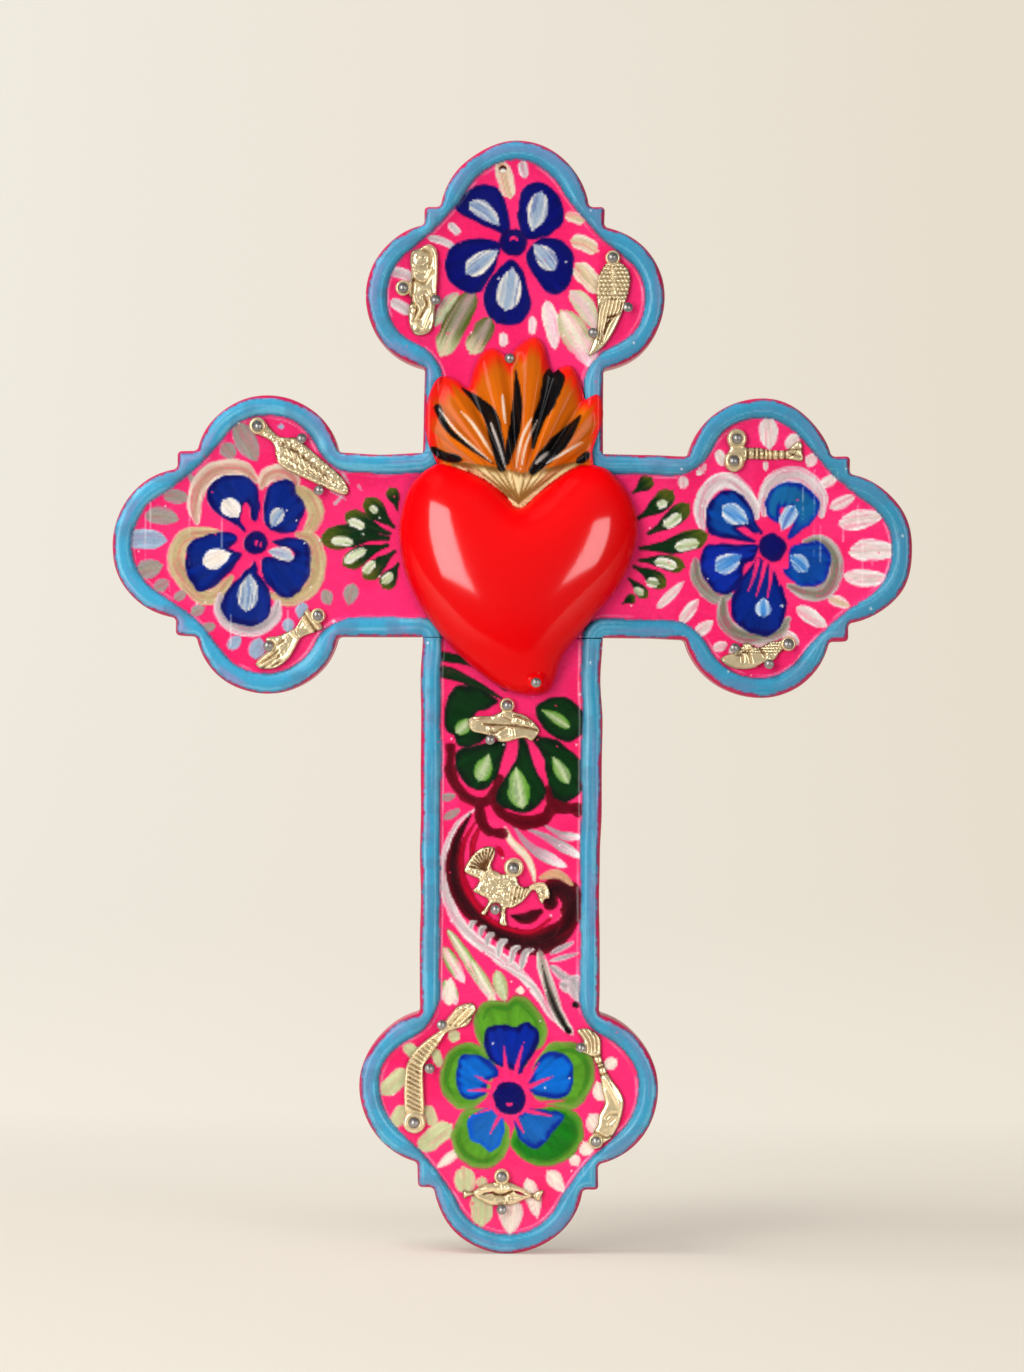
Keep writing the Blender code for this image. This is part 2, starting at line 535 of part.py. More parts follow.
def heart_surface():
    """The outer face of the heart and flames, as spokes from the heart's middle with rings across them."""
    heart = heart_outline()
    flames = [(x * MM, z * MM, ridge) for x, z, ridge in FLAMES]
    spokes = []
    for x, z, ridge in flames:
        angle = math.atan2(z, x)
        spokes.append((angle, radius_at(heart, angle), math.hypot(x, z), ridge))
    last_flame = math.atan2(flames[-1][1], flames[-1][0])
    first_flame = math.atan2(flames[0][1], flames[0][0])
    for x, z in heart:
        angle = math.atan2(z, x)
        if first_flame - SPOKE_GAP < angle < last_flame + SPOKE_GAP:
            continue
        spokes.append((angle, math.hypot(x, z), 0.0, 0.0))
    spokes.sort()
    # Shares of the way out to the heart's edge, and from there to the tips of the flames
    inner_rings = [0.3, 0.55, 0.75, 0.89, 0.97]
    outer_rings = [0.12, 0.5, 0.86, 1.0]
    mesh = bpy.data.meshes.new("heart_shell")
    shape = bmesh.new()

    def vertex(radius, angle, relief):
        x = HEART_OFFSET_X + radius * math.cos(angle)
        z = HEART_OFFSET_Z + radius * math.sin(angle)
        drape = RIM_HEIGHT * ramp((rim_reach(x, z) + DRAPE_REACH) / RIM_HEIGHT)
        return shape.verts.new((x, FIELD_Y - SEAT_GAP - HEART_WALL - max(relief, drape), z))

    rows = []
    for angle, edge, flame, ridge in spokes:
        row = []
        for share in inner_rings:
            row.append(vertex(edge * share, angle, dome_height(share)))
        reach = max(flame, edge + HEART_FLANGE / 2)
        for share in outer_rings:
            fullness = FLAME_GROOVE + (1 - FLAME_GROOVE) * ridge
            height = FLAME_HEIGHT * (1 - share) ** FLAME_FALL * fullness if flame else 0.0
            row.append(vertex(edge + (reach - edge) * share, angle, height))
        row.append(vertex(reach + HEART_FLANGE, angle, 0.0))
        rows.append(row)
    middle = vertex(0.0, 0.0, HEART_HEIGHT)
    for row, following in zip(rows, rows[1:] + rows[:1]):
        shape.faces.new((middle, row[0], following[0]))
        for inner, outer in zip(range(len(row)), range(1, len(row))):
            shape.faces.new((row[inner], row[outer], following[outer], following[inner]))
    bmesh.ops.recalc_face_normals(shape, faces=shape.faces)
    shape.to_mesh(mesh)
    shape.free()
    mesh.shade_smooth()
    return mesh


def heart_depth(x, z):
    """Depth of the heart's outer face at a point, for the head of a nail."""
    radius = math.hypot(x - HEART_OFFSET_X, z - HEART_OFFSET_Z)
    angle = math.atan2(z - HEART_OFFSET_Z, x - HEART_OFFSET_X)
    share = min(1.0, radius / radius_at(heart_outline(), angle))
    return FIELD_Y - SEAT_GAP - HEART_WALL - dome_height(share)


for old in list(bpy.data.objects):
    bpy.data.objects.remove(old)

parts = collection("folk_cross")
cutters = collection("folk_cross_cutters")

painted_wood = material("painted_wood", (0.95, 0.04, 0.19), 0.35)
painted_tin = material("painted_tin", (0.86, 0.01, 0.01), 0.18)
gold = material("gold_cast", (0.78, 0.52, 0.22), 0.3, 1.0)
steel = material("nail_steel", (0.42, 0.41, 0.40), 0.35, 1.0)
nail = nail_mesh()

# Boards, the field sunk into both, and the half lap where they cross
upright = flat_solid("upright_board", upright_outline(), 0.0, BOARD_THICKNESS, EDGE_ROUND)
place(upright, parts, painted_wood)
crossbar = flat_solid("crossbar_board", crossbar_outline(), 0.0, BOARD_THICKNESS, EDGE_ROUND)
place(crossbar, parts, painted_wood)
field = as_cutter(flat_solid("field", field_outline(), FIELD_Y, FIELD_CUT, FIELD_FILLET), "field_room")
bpy.ops.mesh.primitive_cube_add(size=1.0)
crossbar_room = as_cutter(bpy.context.object, "crossbar_room")
crossbar_room.scale = (2 * UPRIGHT_WIDTH, BOARD_THICKNESS, CROSSBAR_WIDTH + 2 * SEAT_GAP)
crossbar_room.location.y = -LAP_THICKNESS - BOARD_THICKNESS / 2
bpy.ops.mesh.primitive_cube_add(size=1.0)
upright_room = as_cutter(bpy.context.object, "upright_room")
upright_room.scale = (UPRIGHT_WIDTH + 2 * SEAT_GAP, BOARD_THICKNESS, 2 * CROSSBAR_WIDTH)
upright_room.location.y = BOARD_THICKNESS / 2 - LAP_THICKNESS - SEAT_GAP
cut(upright, field)
cut(upright, crossbar_room)
cut(crossbar, field)
cut(crossbar, upright_room)
drill(
    upright,
    "hanging_hole",
    HANGING_HOLE_OFFSET,
    TOP_REACH - HANGING_HOLE_DROP,
    HANGING_HOLE_RADIUS,
    -2 * BOARD_THICKNESS,
    BOARD_THICKNESS,
)

# The tin heart
heart = bpy.data.objects.new("heart_shell", heart_surface())
place(heart, parts, painted_tin)
wall = heart.modifiers.new("wall", "SOLIDIFY")
wall.thickness = HEART_WALL
wall.offset = -1.0
for number, (px, pz, lift) in enumerate(HEART_NAILS, 1):
    at_x = HEART_OFFSET_X + px * MM
    at_z = HEART_OFFSET_Z + pz * MM
    seat = heart_depth(at_x, at_z) - SEAT_GAP - lift * MM
    drill(heart, f"heart_nail_{number}_way", at_x, at_z, NAIL_HOLE_RADIUS, seat - NAIL_LENGTH, FIELD_Y)
    add_nail(f"heart_nail_{number}", upright, at_x, at_z, seat)

# The charms, placed from the side of a lobe's field, the middle of a lobe or the end of the foot's field
lobe_edge = LOBE_SPREAD - RIM_WIDTH
top_lobe = TOP_REACH - LOBE_SETBACK
arm_lobe = ARM_REACH - LOBE_SETBACK
foot_lobe = FOOT_REACH - FOOT_LOBE_SETBACK
foot_end = FOOT_REACH - RIM_WIDTH

add_charm(
    "praying_figure_charm", upright, PRAYING_FIGURE, FIGURE_IN - lobe_edge, top_lobe + FIGURE_ALONG,
    rings=PRAYING_FIGURE_RINGS, edge_nails=PRAYING_FIGURE_NAILS,
)
add_charm(
    "wing_charm", upright, WING, lobe_edge - WING_IN, top_lobe + WING_ALONG,
    rings=WING_RINGS, edge_nails=WING_NAILS,
)
add_charm(
    "maize_charm", crossbar, MAIZE, -arm_lobe - MAIZE_ALONG, lobe_edge - MAIZE_IN,
    rings=MAIZE_RINGS, edge_nails=MAIZE_NAILS,
)
add_charm(
    "hand_charm", crossbar, HAND, -arm_lobe - HAND_ALONG, HAND_IN - lobe_edge,
    rings=HAND_RINGS, edge_nails=HAND_NAILS,
)
add_charm(
    "key_charm", crossbar, KEY, arm_lobe + KEY_ALONG, lobe_edge - KEY_IN,
    rings=KEY_RINGS, edge_nails=[],
)
add_charm(
    "shoe_charm", crossbar, SHOE, arm_lobe + SHOE_ALONG, SHOE_IN - lobe_edge,
    rings=SHOE_RINGS, edge_nails=SHOE_NAILS,
)
add_charm(
    "oval_charm", upright, OVAL, OVAL_ASIDE, -OVAL_DROP,
    rings=OVAL_RINGS, edge_nails=OVAL_NAILS,
)
add_charm(
    "turkey_charm", upright, TURKEY, TURKEY_ASIDE, -TURKEY_DROP,
    rings=TURKEY_RINGS, edge_nails=TURKEY_NAILS,
)
add_charm(
    "sleeved_arm_charm", upright, SLEEVED_ARM, SLEEVED_ARM_IN - lobe_edge, -foot_lobe - SLEEVED_ARM_ALONG,
    rings=SLEEVED_ARM_RINGS, edge_nails=SLEEVED_ARM_NAILS,
)
add_charm(
    "bare_arm_charm", upright, BARE_ARM, lobe_edge - BARE_ARM_IN, -foot_lobe - BARE_ARM_ALONG,
    rings=BARE_ARM_RINGS, edge_nails=BARE_ARM_NAILS,
)
add_charm(
    "lips_charm", upright, LIPS, LIPS_ASIDE, LIPS_RISE - foot_end,
    rings=LIPS_RINGS, edge_nails=LIPS_NAILS,
)
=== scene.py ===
import itertools
import math

import bmesh
import bpy
import numpy as np
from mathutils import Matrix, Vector
from mathutils.geometry import delaunay_2d_cdt
from mathutils.kdtree import KDTree


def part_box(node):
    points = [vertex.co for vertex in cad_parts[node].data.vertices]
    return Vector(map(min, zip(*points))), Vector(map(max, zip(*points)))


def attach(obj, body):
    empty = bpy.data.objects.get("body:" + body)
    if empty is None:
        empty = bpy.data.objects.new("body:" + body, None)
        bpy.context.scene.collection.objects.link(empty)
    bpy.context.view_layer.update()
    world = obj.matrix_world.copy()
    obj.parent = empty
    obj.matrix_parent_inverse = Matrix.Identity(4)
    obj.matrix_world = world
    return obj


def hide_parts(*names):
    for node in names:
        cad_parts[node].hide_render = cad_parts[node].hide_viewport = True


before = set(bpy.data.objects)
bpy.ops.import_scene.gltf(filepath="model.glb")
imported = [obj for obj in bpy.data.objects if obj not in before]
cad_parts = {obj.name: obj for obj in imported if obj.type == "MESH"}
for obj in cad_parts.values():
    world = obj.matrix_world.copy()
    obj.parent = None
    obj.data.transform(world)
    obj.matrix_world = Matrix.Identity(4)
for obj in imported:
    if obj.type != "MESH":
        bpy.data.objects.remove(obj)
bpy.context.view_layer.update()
mm = 0.001

# how the photograph's pixels lie over the object, in the 1024 x 1372 frame
photo = {
    "scale": 0.2516,  # mm for one pixel
    "centre": (511.5, 546.5),  # the crossing
    "uprightShift": 2.0,  # the upright leans a little to the right of the crossing
    "uprightLean": 0.0552,  # pixels for each mm of height
    "crossbarLean": 0.0041,
    "roll": 0.45,  # degrees
    "size": (1024, 1372),
}


def noise(x, y, seed=0):
    # smooth random values from 0 to 1, one for each cell of a unit grid
    cellX = np.floor(x).astype(np.int64)
    cellY = np.floor(y).astype(np.int64)
    partX = ease(0, 1, x - cellX)
    partY = ease(0, 1, y - cellY)

    def corner(a, b):
        mixed = (a * 374761393 + b * 668265263 + seed * 974634777) & 0xFFFFFFFF
        mixed = ((mixed ^ (mixed >> 13)) * 1274126177) & 0xFFFFFFFF
        return ((mixed ^ (mixed >> 16)) & 0xFFFF) / 65535.0

    low = corner(cellX, cellY) * (1 - partX) + corner(cellX + 1, cellY) * partX
    high = corner(cellX, cellY + 1) * (1 - partX) + corner(cellX + 1, cellY + 1) * partX
    return low * (1 - partY) + high * partY


def ease(low, high, value):
    share = np.clip((value - low) / (high - low), 0.0, 1.0)
    return share * share * (3 - 2 * share)


def cloud(points, rate, seed):
    return noise(points[:, 0] * rate, points[:, 1] * rate, seed)


def linear(colour):
    colour = np.asarray(colour, float)
    return np.where(colour <= 0.04045, colour / 12.92, ((colour + 0.055) / 1.055) ** 2.4)


def tone(red, green, blue):
    return np.array([red, green, blue]) / 255.0


def smoothLine(points, closed=False, steps=8):
    # an even curve through the given points
    points = np.asarray(points, float)
    count = len(points)
    if count < 3 and not closed:
        share = np.linspace(0, 1, steps + 1)[:, None]
        return points[0] + (points[-1] - points[0]) * share
    if closed:
        padded = np.vstack([points[-1:], points, points[:2]])
    else:
        padded = np.vstack([2 * points[0] - points[1], points, 2 * points[-1] - points[-2]])
    line = []
    for index in range(len(padded) - 3):
        p0, p1, p2, p3 = padded[index : index + 4]
        square = 2 * p0 - 5 * p1 + 4 * p2 - p3
        cube = 3 * p1 - p0 - 3 * p2 + p3
        for step in range(steps):
            t = step / steps
            line.append(0.5 * (2 * p1 + (p2 - p0) * t + square * t**2 + cube * t**3))
    if not closed:
        line.append(points[-1])
    return np.array(line)


def arcPoints(centre, radius, start, stop, step=0.07):
    steps = max(2, math.ceil(abs(stop - start) / step))
    angles = np.linspace(start, stop, steps + 1)
    return np.column_stack([centre[0] + radius * np.cos(angles), centre[1] + radius * np.sin(angles)])


def segmentsOf(line, closed=True):
    first = np.asarray(line, float)
    if closed:
        return first, np.roll(first, -1, axis=0) - first
    return first[:-1], first[1:] - first[:-1]


blockSize = 3000  # points worked on at a time


def distanceTo(points, line, closed=True):
    first, run = segmentsOf(line, closed)
    lengths = np.maximum((run * run).sum(1), 1e-12)
    nearest = np.empty(len(points))
    if len(first) > 250:
        # a long even outline: only the segments beside the nearest point count
        tree = KDTree(len(first))
        for index, point in enumerate(first):
            tree.insert((point[0], point[1], 0), index)
        tree.balance()
        found = np.array([tree.find((x, y, 0))[1] for x, y in points])
        nearest[:] = np.inf
        for side in (-1, 0):
            index = (found + side) % len(first)
            offset = points - first[index]
            along = np.clip((offset * run[index]).sum(1) / lengths[index], 0, 1)
            nearest = np.minimum(nearest, np.hypot(*(offset - along[:, None] * run[index]).T))
        return nearest
    for start in range(0, len(points), blockSize):
        offset = points[start : start + blockSize, None, :] - first
        along = np.clip((offset * run).sum(2) / lengths, 0, 1)
        apart = offset - along[:, :, None] * run
        nearest[start : start + blockSize] = np.sqrt((apart**2).sum(2).min(1))
    return nearest


def insideOf(points, line):
    first, run = segmentsOf(line)
    second = first + run
    lower = np.minimum(first[:, 1], second[:, 1])
    upper = np.maximum(first[:, 1], second[:, 1])
    inside = np.zeros(len(points), bool)
    order = np.argsort(points[:, 1])
    for start in range(0, len(points), blockSize):
        chosen = order[start : start + blockSize]
        block = points[chosen]
        level = block[:, 1:2]
        near = (lower <= level.max()) & (upper >= level.min())
        a, b, way = first[near], second[near], run[near]
        crosses = (a[:, 1] > level) != (b[:, 1] > level)
        rise = np.where(np.abs(way[:, 1]) < 1e-12, 1e-12, way[:, 1])
        at = a[:, 0] + (level - a[:, 1]) * way[:, 0] / rise
        inside[chosen] = (crosses & (block[:, 0:1] < at)).sum(1) % 2 == 1
    return inside


def evenly(line, step):
    # the same closed outline with points no further apart than the step
    out = []
    for first, second in zip(line, np.roll(line, -1, axis=0)):
        parts = max(1, math.ceil(np.hypot(*(second - first)) / step))
        out.extend(first + (second - first) * k / parts for k in range(parts))
    return np.array(out)


def gridInside(outline, step, seed):
    # a slightly uneven grid of points that fills an outline
    margin = 0.45 * step  # kept clear along the outline
    low = outline.min(0)
    high = outline.max(0)
    xs = np.arange(low[0], high[0], step)
    zs = np.arange(low[1], high[1], step)
    points = np.array(np.meshgrid(xs, zs)).reshape(2, -1).T
    shake = np.random.default_rng(seed).uniform(-0.12, 0.12, points.shape) * step
    points = points + shake
    points = points[insideOf(points, outline)]
    return points[distanceTo(points, outline) > margin]


def triangulate(outlines, inner):
    # joins the outlines and the points inside them into triangles
    coords = []
    loops = []
    for line in outlines:
        loops.append(list(range(len(coords), len(coords) + len(line))))
        coords.extend(map(tuple, line))
    coords.extend(map(tuple, inner))
    edges = [(a, b) for loop in loops for a, b in zip(loop, loop[1:] + loop[:1])]
    verts, _, faces, _, _, _ = delaunay_2d_cdt(coords, edges, [], 1, 1e-6, True)
    flat = np.array([tuple(v) for v in verts])
    faces = np.array([tuple(f) for f in faces])
    middle = flat[faces].mean(1)
    kept = sum(insideOf(middle, line) for line in outlines) % 2 == 1
    return flat, faces[kept]


def reliefPiece(name, flat, faces, front, back, sideRings=()):
    # a closed piece: its front stands at the given depths, its back is flat or follows the given depths
    # depths are in mm towards the viewer
    shape = bmesh.new()
    top = [shape.verts.new((x * mm, -depth * mm, z * mm)) for (x, z), depth in zip(flat, front)]
    for a, b, c in faces:
        shape.faces.new((top[a], top[b], top[c]))
    shape.normal_update()
    if sum(face.normal.y * face.calc_area() for face in shape.faces) > 0:
        bmesh.ops.reverse_faces(shape, faces=shape.faces[:])
    if np.ndim(back):
        bottom = [shape.verts.new((x * mm, -depth * mm, z * mm)) for (x, z), depth in zip(flat, back)]
        twin = dict(zip(top, bottom))
        for face in list(shape.faces):
            shape.faces.new([twin[v] for v in reversed(face.verts)])
        edges = [edge for edge in shape.edges if len(edge.link_faces) == 1 and edge.verts[0] in twin]
        for edge in edges:
            a = edge.link_loops[0].vert
            b = edge.other_vert(a)
            shape.faces.new((b, a, twin[a], twin[b]))
    else:
        edges = [edge for edge in shape.edges if edge.is_boundary]
        for depth in (*sideRings, back):
            made = bmesh.ops.extrude_edge_only(shape, edges=edges)["geom"]
            edges = [item for item in made if isinstance(item, bmesh.types.BMEdge)]
            for vert in {v for edge in edges for v in edge.verts}:
                vert.co.y = -depth * mm
        filled = bmesh.ops.triangle_fill(shape, edges=edges, use_beauty=True, normal=(0, 1, 0))["geom"]
        for face in filled:
            if isinstance(face, bmesh.types.BMFace):
                face.material_index = 1
        bmesh.ops.recalc_face_normals(shape, faces=shape.faces[:])
    mesh = bpy.data.meshes.new(name)
    shape.to_mesh(mesh)
    shape.free()
    for polygon in mesh.polygons:
        polygon.use_smooth = polygon.material_index == 0
    piece = bpy.data.objects.new(name, mesh)
    bpy.context.scene.collection.objects.link(piece)
    return piece


sideColour = tone(214, 34, 92)
sideValue = 0.35


def setAttribute(piece, name, values):
    # one value or colour for each front point; the points of the sides and the back get the side's own
    mesh = piece.data
    if np.ndim(values) == 2:
        layer = mesh.attributes.new(name, "FLOAT_COLOR", "POINT")
        full = np.ones((len(mesh.vertices), 4))
        full[:, :3] = linear(sideColour)
        full[: len(values), :3] = linear(np.clip(values, 0, 1))
        layer.data.foreach_set("color", full.ravel())
    else:
        layer = mesh.attributes.new(name, "FLOAT", "POINT")
        full = np.full(len(mesh.vertices), sideValue)
        full[: len(values)] = values
        layer.data.foreach_set("value", full)


# Painting: a canvas holds a board's front points with their colour and paint, seen on a drawing sheet
def sheetOf(canvas, corner, zoom, size):
    margin = 60  # strokes may reach a little past the sheet
    u = (canvas["u"] - corner[0]) * zoom
    v = (canvas["v"] - corner[1]) * zoom
    seen = np.nonzero((u > -margin) & (v > -margin) & (u < size[0] + margin) & (v < size[1] + margin))[0]
    return {"canvas": canvas, "index": seen, "u": u[seen], "v": v[seen], "zoom": zoom}


def pointsNear(sheet, line, margin):
    # which of the sheet's points lie about a line, and where they are
    low = line.min(0) - margin
    high = line.max(0) + margin
    u, v = sheet["u"], sheet["v"]
    near = np.nonzero((u > low[0]) & (u < high[0]) & (v > low[1]) & (v < high[1]))[0]
    return near, np.column_stack([u[near], v[near]])


def tint(colours, target, share):
    # brings the colours towards the target
    colours += (target - colours) * share[:, None]


def layOn(sheet, chosen, cover, colour, thick):
    canvas = sheet["canvas"]
    index = sheet["index"][chosen]
    cover = np.clip(cover, 0, 1) * canvas["open"][index]
    canvas["colour"][index] += (colour - canvas["colour"][index]) * cover[:, None]
    canvas["relief"][index] = canvas["relief"][index] * (1 - 0.6 * cover) + thick * cover


def roundEnd(share):
    return np.sqrt(np.clip(1 - share**2, 0.02, 1))


# a stroke's width along its length, as a share of its greatest width
profiles = {
    "dab": lambda t: np.sqrt(np.clip(1 - (2 * t - 1) ** 4, 0.04, 1)),
    "leaf": lambda t: np.clip(np.sin(np.pi * np.clip(t, 0, 1) ** 0.85), 0.02, 1) ** 0.5,
    "drop": lambda t: np.where(t < 0.62, 0.16 + 1.35 * t, roundEnd((t - 0.62) / 0.38)),
    "egg": lambda t: roundEnd(2 * np.clip(t, 0, 1) ** 1.35 - 1),
    "lobe": lambda t: (0.2 + 0.8 * ease(0, 0.7, t)) * roundEnd(np.clip(t - 0.74, 0, 1) / 0.26),
    "line": lambda t: np.ones_like(t),
    "band": lambda t: np.clip(np.sin(np.pi * np.clip(t, 0, 1)), 0.03, 1) ** 0.3,
    "taper": lambda t: np.clip(1.05 - t, 0.08, 1) ** 0.7,
    "swell": lambda t: np.clip(0.15 + 0.9 * np.sin(np.pi * t * 0.85), 0.1, 1),
}
brushEdge = 0.22  # half the width of a stroke's soft edge, mm
strokeSeeds = itertools.count(1)


def dab(sheet, path, width, colours, shape="dab", dry=0.15, ragged=0.11, thick=0.10, cover=1.0):
    # one stroke of the brush: colours are (edge, middle) or (edge, middle, far end)
    seed = next(strokeSeeds)
    line = smoothLine(path)
    near, points = pointsNear(sheet, line, width)
    if not len(near):
        return
    first, run = segmentsOf(line, closed=False)
    lengths = np.sqrt((run * run).sum(1))
    total = lengths.sum()
    starts = np.concatenate([[0], np.cumsum(lengths)[:-1]])
    offset = points[:, None, :] - first
    along = np.clip((offset * run).sum(2) / np.maximum(lengths, 1e-9) ** 2, 0, 1)
    apart = offset - along[:, :, None] * run
    gap = np.sqrt((apart**2).sum(2))
    best = gap.argmin(1)
    rows = np.arange(len(points))
    side = run[best, 0] * apart[rows, best, 1] - run[best, 1] * apart[rows, best, 0]
    across = gap[rows, best] * np.sign(side)
    t = (starts[best] + along[rows, best] * lengths[best]) / max(total, 1e-9)
    half = width / 2
    zoom = sheet["zoom"]
    mmAcross = across / zoom * photo["scale"]
    mmAlong = t * total / zoom * photo["scale"]
    edge = cloud(points / zoom, 0.13, seed)
    reach = half * profiles[shape](t) * (1 + ragged * (2 * edge - 1))
    ratio = np.abs(across) / np.maximum(reach, 1e-6)
    soft = np.minimum(brushEdge * zoom / photo["scale"] / np.maximum(reach, 1e-6), 0.9)
    mask = 1 - ease(1 - soft, 1 + soft, ratio)
    bristle = noise(mmAcross * 2.6 + 40, mmAlong * 0.16 + 3, seed + 9)
    fine = noise(mmAcross * 5.2 + 90, mmAlong * 0.3 + 7, seed + 19)
    mask = mask * (1 - dry * ease(0.52, 0.78, 0.6 * bristle + 0.4 * fine))
    blend = np.clip(1.15 - ratio + 0.7 * (bristle - 0.5), 0, 1)[:, None]
    colour = colours[0] * (1 - blend) + colours[1] * blend
    if len(colours) > 2:
        end = ease(0.45, 0.95, t + 0.3 * (bristle - 0.5))[:, None]
        colour = colour * (1 - end) + colours[2] * end
    colour = colour * (0.93 + 0.14 * fine)[:, None]
    chosen = mask > 0.01
    body = thick * (0.55 + 0.5 * bristle + 0.5 * ease(0.6, 0.95, ratio))
    layOn(sheet, near[chosen], cover * mask[chosen], colour[chosen], body[chosen])


def patch(sheet, outline, colours, eye, ragged=2.0, thick=0.09):
    # a filled shape: colours are (edge, middle), brushed outwards from the eye of the flower
    seed = next(strokeSeeds)
    line = smoothLine(outline, closed=True, steps=5)
    near, points = pointsNear(sheet, line, 12)
    if not len(near):
        return
    depth = distanceTo(points, line) * np.where(insideOf(points, line), 1, -1) / sheet["zoom"]
    px = points / sheet["zoom"]
    depth = depth + ragged * (cloud(px, 0.14, seed) - 0.5)
    mask = ease(-1.0, 1.0, depth)
    away = points - eye
    angle = np.arctan2(away[:, 1], away[:, 0])
    far = np.hypot(away[:, 0], away[:, 1]) / sheet["zoom"]
    bristle = noise(angle * 14 + 50, far * 0.05 + 5, seed + 5)
    fine = noise(angle * 34 + 150, far * 0.09 + 5, seed + 6)
    blend = ease(1.0, 7.0, depth + 5 * (bristle - 0.5))[:, None]
    colour = (colours[0] * (1 - blend) + colours[1] * blend) * (0.88 + 0.18 * bristle + 0.08 * fine)[:, None]
    chosen = mask > 0.01
    body = thick * (0.6 + 0.5 * bristle) + 0.05 * (1 - ease(0.5, 2.5, depth))
    layOn(sheet, near[chosen], mask[chosen], colour[chosen], body[chosen])


# Boards
board = {
    "uprightHalf": 22.7,
    "crossbarHalf": 23.15,
    "thickness": 12.0,
    "lap": 6.0,
    "seam": 0.12,
    "endRadius": 18.9,
    "lobeRadius": 18.4,
    "footLobeRadius": 19.4,
    "lobeSpread": 37.7,
    "lobeSetback": 39.2,
    "footLobeSetback": 41.6,
    "squareSetback": 16.4,
    "rimWidth": 4.8,
    "rimHeight": 2.0,
    "rimShoulder": 0.62,  # the rim's height at its two edges
    "rimRound": 1.1,
    "filletHeight": 0.5,
    "filletWidth": 1.5,
    "shoulderRadius": 11.5,
    "waistRadius": 60.0,
    "cutWobble": 0.7,  # how far the fretsaw strays, mm
    "cornerWear": 1.0,  # how far round a sharp corner the sanding reaches, mm
    "edgeBreak": 0.9,  # where the side's paint stops, mm from the back
    "fieldStep": 0.41,
    "hole": (-3.2, 95.2, 1.0),  # for hanging: x, z and radius
    "top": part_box("upright_board")[1][2] / mm,
    "foot": -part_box("upright_board")[0][2] / mm,
    "arm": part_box("crossbar_board")[1][0] / mm,
}
fieldDepth = board["thickness"] - board["rimHeight"]


def halfFinial(halfWidth, reach, lobe, setback, inset=0.0):
    # half of an arm's edge from its straight side to its tip, as (along, across)
    lobeAt = reach - setback
    lobeAcross = board["lobeSpread"] - lobe
    lobeRadius = lobe - inset
    endAt = reach - board["endRadius"]
    endRadius = board["endRadius"] - inset
    edge = halfWidth - inset
    if not inset:
        turn = math.asin((edge - lobeAcross) / lobeRadius)
        squareAt = reach - board["squareSetback"]
        endStart = math.acos((squareAt - endAt) / endRadius)
        return np.vstack(
            [
                arcPoints((lobeAt, lobeAcross), lobeRadius, math.pi - turn, turn),
                [(squareAt, edge)],
                arcPoints((endAt, 0), endRadius, endStart, 0),
            ]
        )
    shoulder = board["shoulderRadius"]
    waist = board["waistRadius"]
    spread = lobeRadius + shoulder
    rise = edge + shoulder - lobeAcross
    bend = (lobeAt - math.sqrt(spread**2 - rise**2), edge + shoulder)
    turn = math.atan2(lobeAcross - bend[1], lobeAt - bend[0])
    gap = math.hypot(endAt - lobeAt, lobeAcross)
    share = ((lobeRadius + waist) ** 2 - (endRadius + waist) ** 2 + gap**2) / (2 * gap)
    height = math.sqrt((lobeRadius + waist) ** 2 - share**2)
    toward = ((endAt - lobeAt) / gap, -lobeAcross / gap)
    hollow = (
        lobeAt + toward[0] * share - toward[1] * height,
        lobeAcross + toward[1] * share + toward[0] * height,
    )
    lobeEnd = math.atan2(hollow[1] - lobeAcross, hollow[0] - lobeAt)
    endStart = math.atan2(hollow[1], hollow[0] - endAt)
    return np.vstack(
        [
            arcPoints(bend, shoulder, -math.pi / 2, turn)[:-1],
            arcPoints((lobeAt, lobeAcross), lobeRadius, turn + math.pi, lobeEnd)[:-1],
            arcPoints(hollow, waist, lobeEnd - math.pi, endStart - math.pi, 0.03)[:-1],
            arcPoints((endAt, 0), endRadius, endStart, 0),
        ]
    )


def armEdges(inset=0.0):
    lobe = (board["lobeRadius"], board["lobeSetback"])
    footLobe = (board["footLobeRadius"], board["footLobeSetback"])
    top = halfFinial(board["uprightHalf"], board["top"], *lobe, inset)
    foot = halfFinial(board["uprightHalf"], board["foot"], *footLobe, inset)
    side = halfFinial(board["crossbarHalf"], board["arm"], *lobe, inset)
    return top, foot, side


def crossOutline(inset=0.0):
    # the whole cross in one outline: its cut edge, or the edge of the sunk field
    top, foot, side = armEdges(inset)
    corner = np.array([board["uprightHalf"], board["crossbarHalf"]])
    turn = arcPoints(corner, inset, math.pi, 1.5 * math.pi, 0.1) if inset else corner[None]
    upper = np.vstack([top[::-1, ::-1], turn, side])
    lower = np.vstack([foot[::-1, ::-1] * (1, -1), turn * (1, -1), side * (1, -1)])
    right = np.vstack([upper[:-1], lower[::-1]])
    return np.vstack([right[:-1], right[:0:-1] * (-1, 1)])


def uprightOutline():
    top, foot, _ = armEdges()
    right = np.vstack([foot[::-1, ::-1] * (1, -1), top[:, ::-1]])
    return np.vstack([right[:-1], right[:0:-1] * (-1, 1)])


def crossbarOutline():
    _, _, side = armEdges()
    upper = np.vstack([side[::-1] * (-1, 1), side])
    return np.vstack([upper[:-1], upper[:0:-1] * (1, -1)])


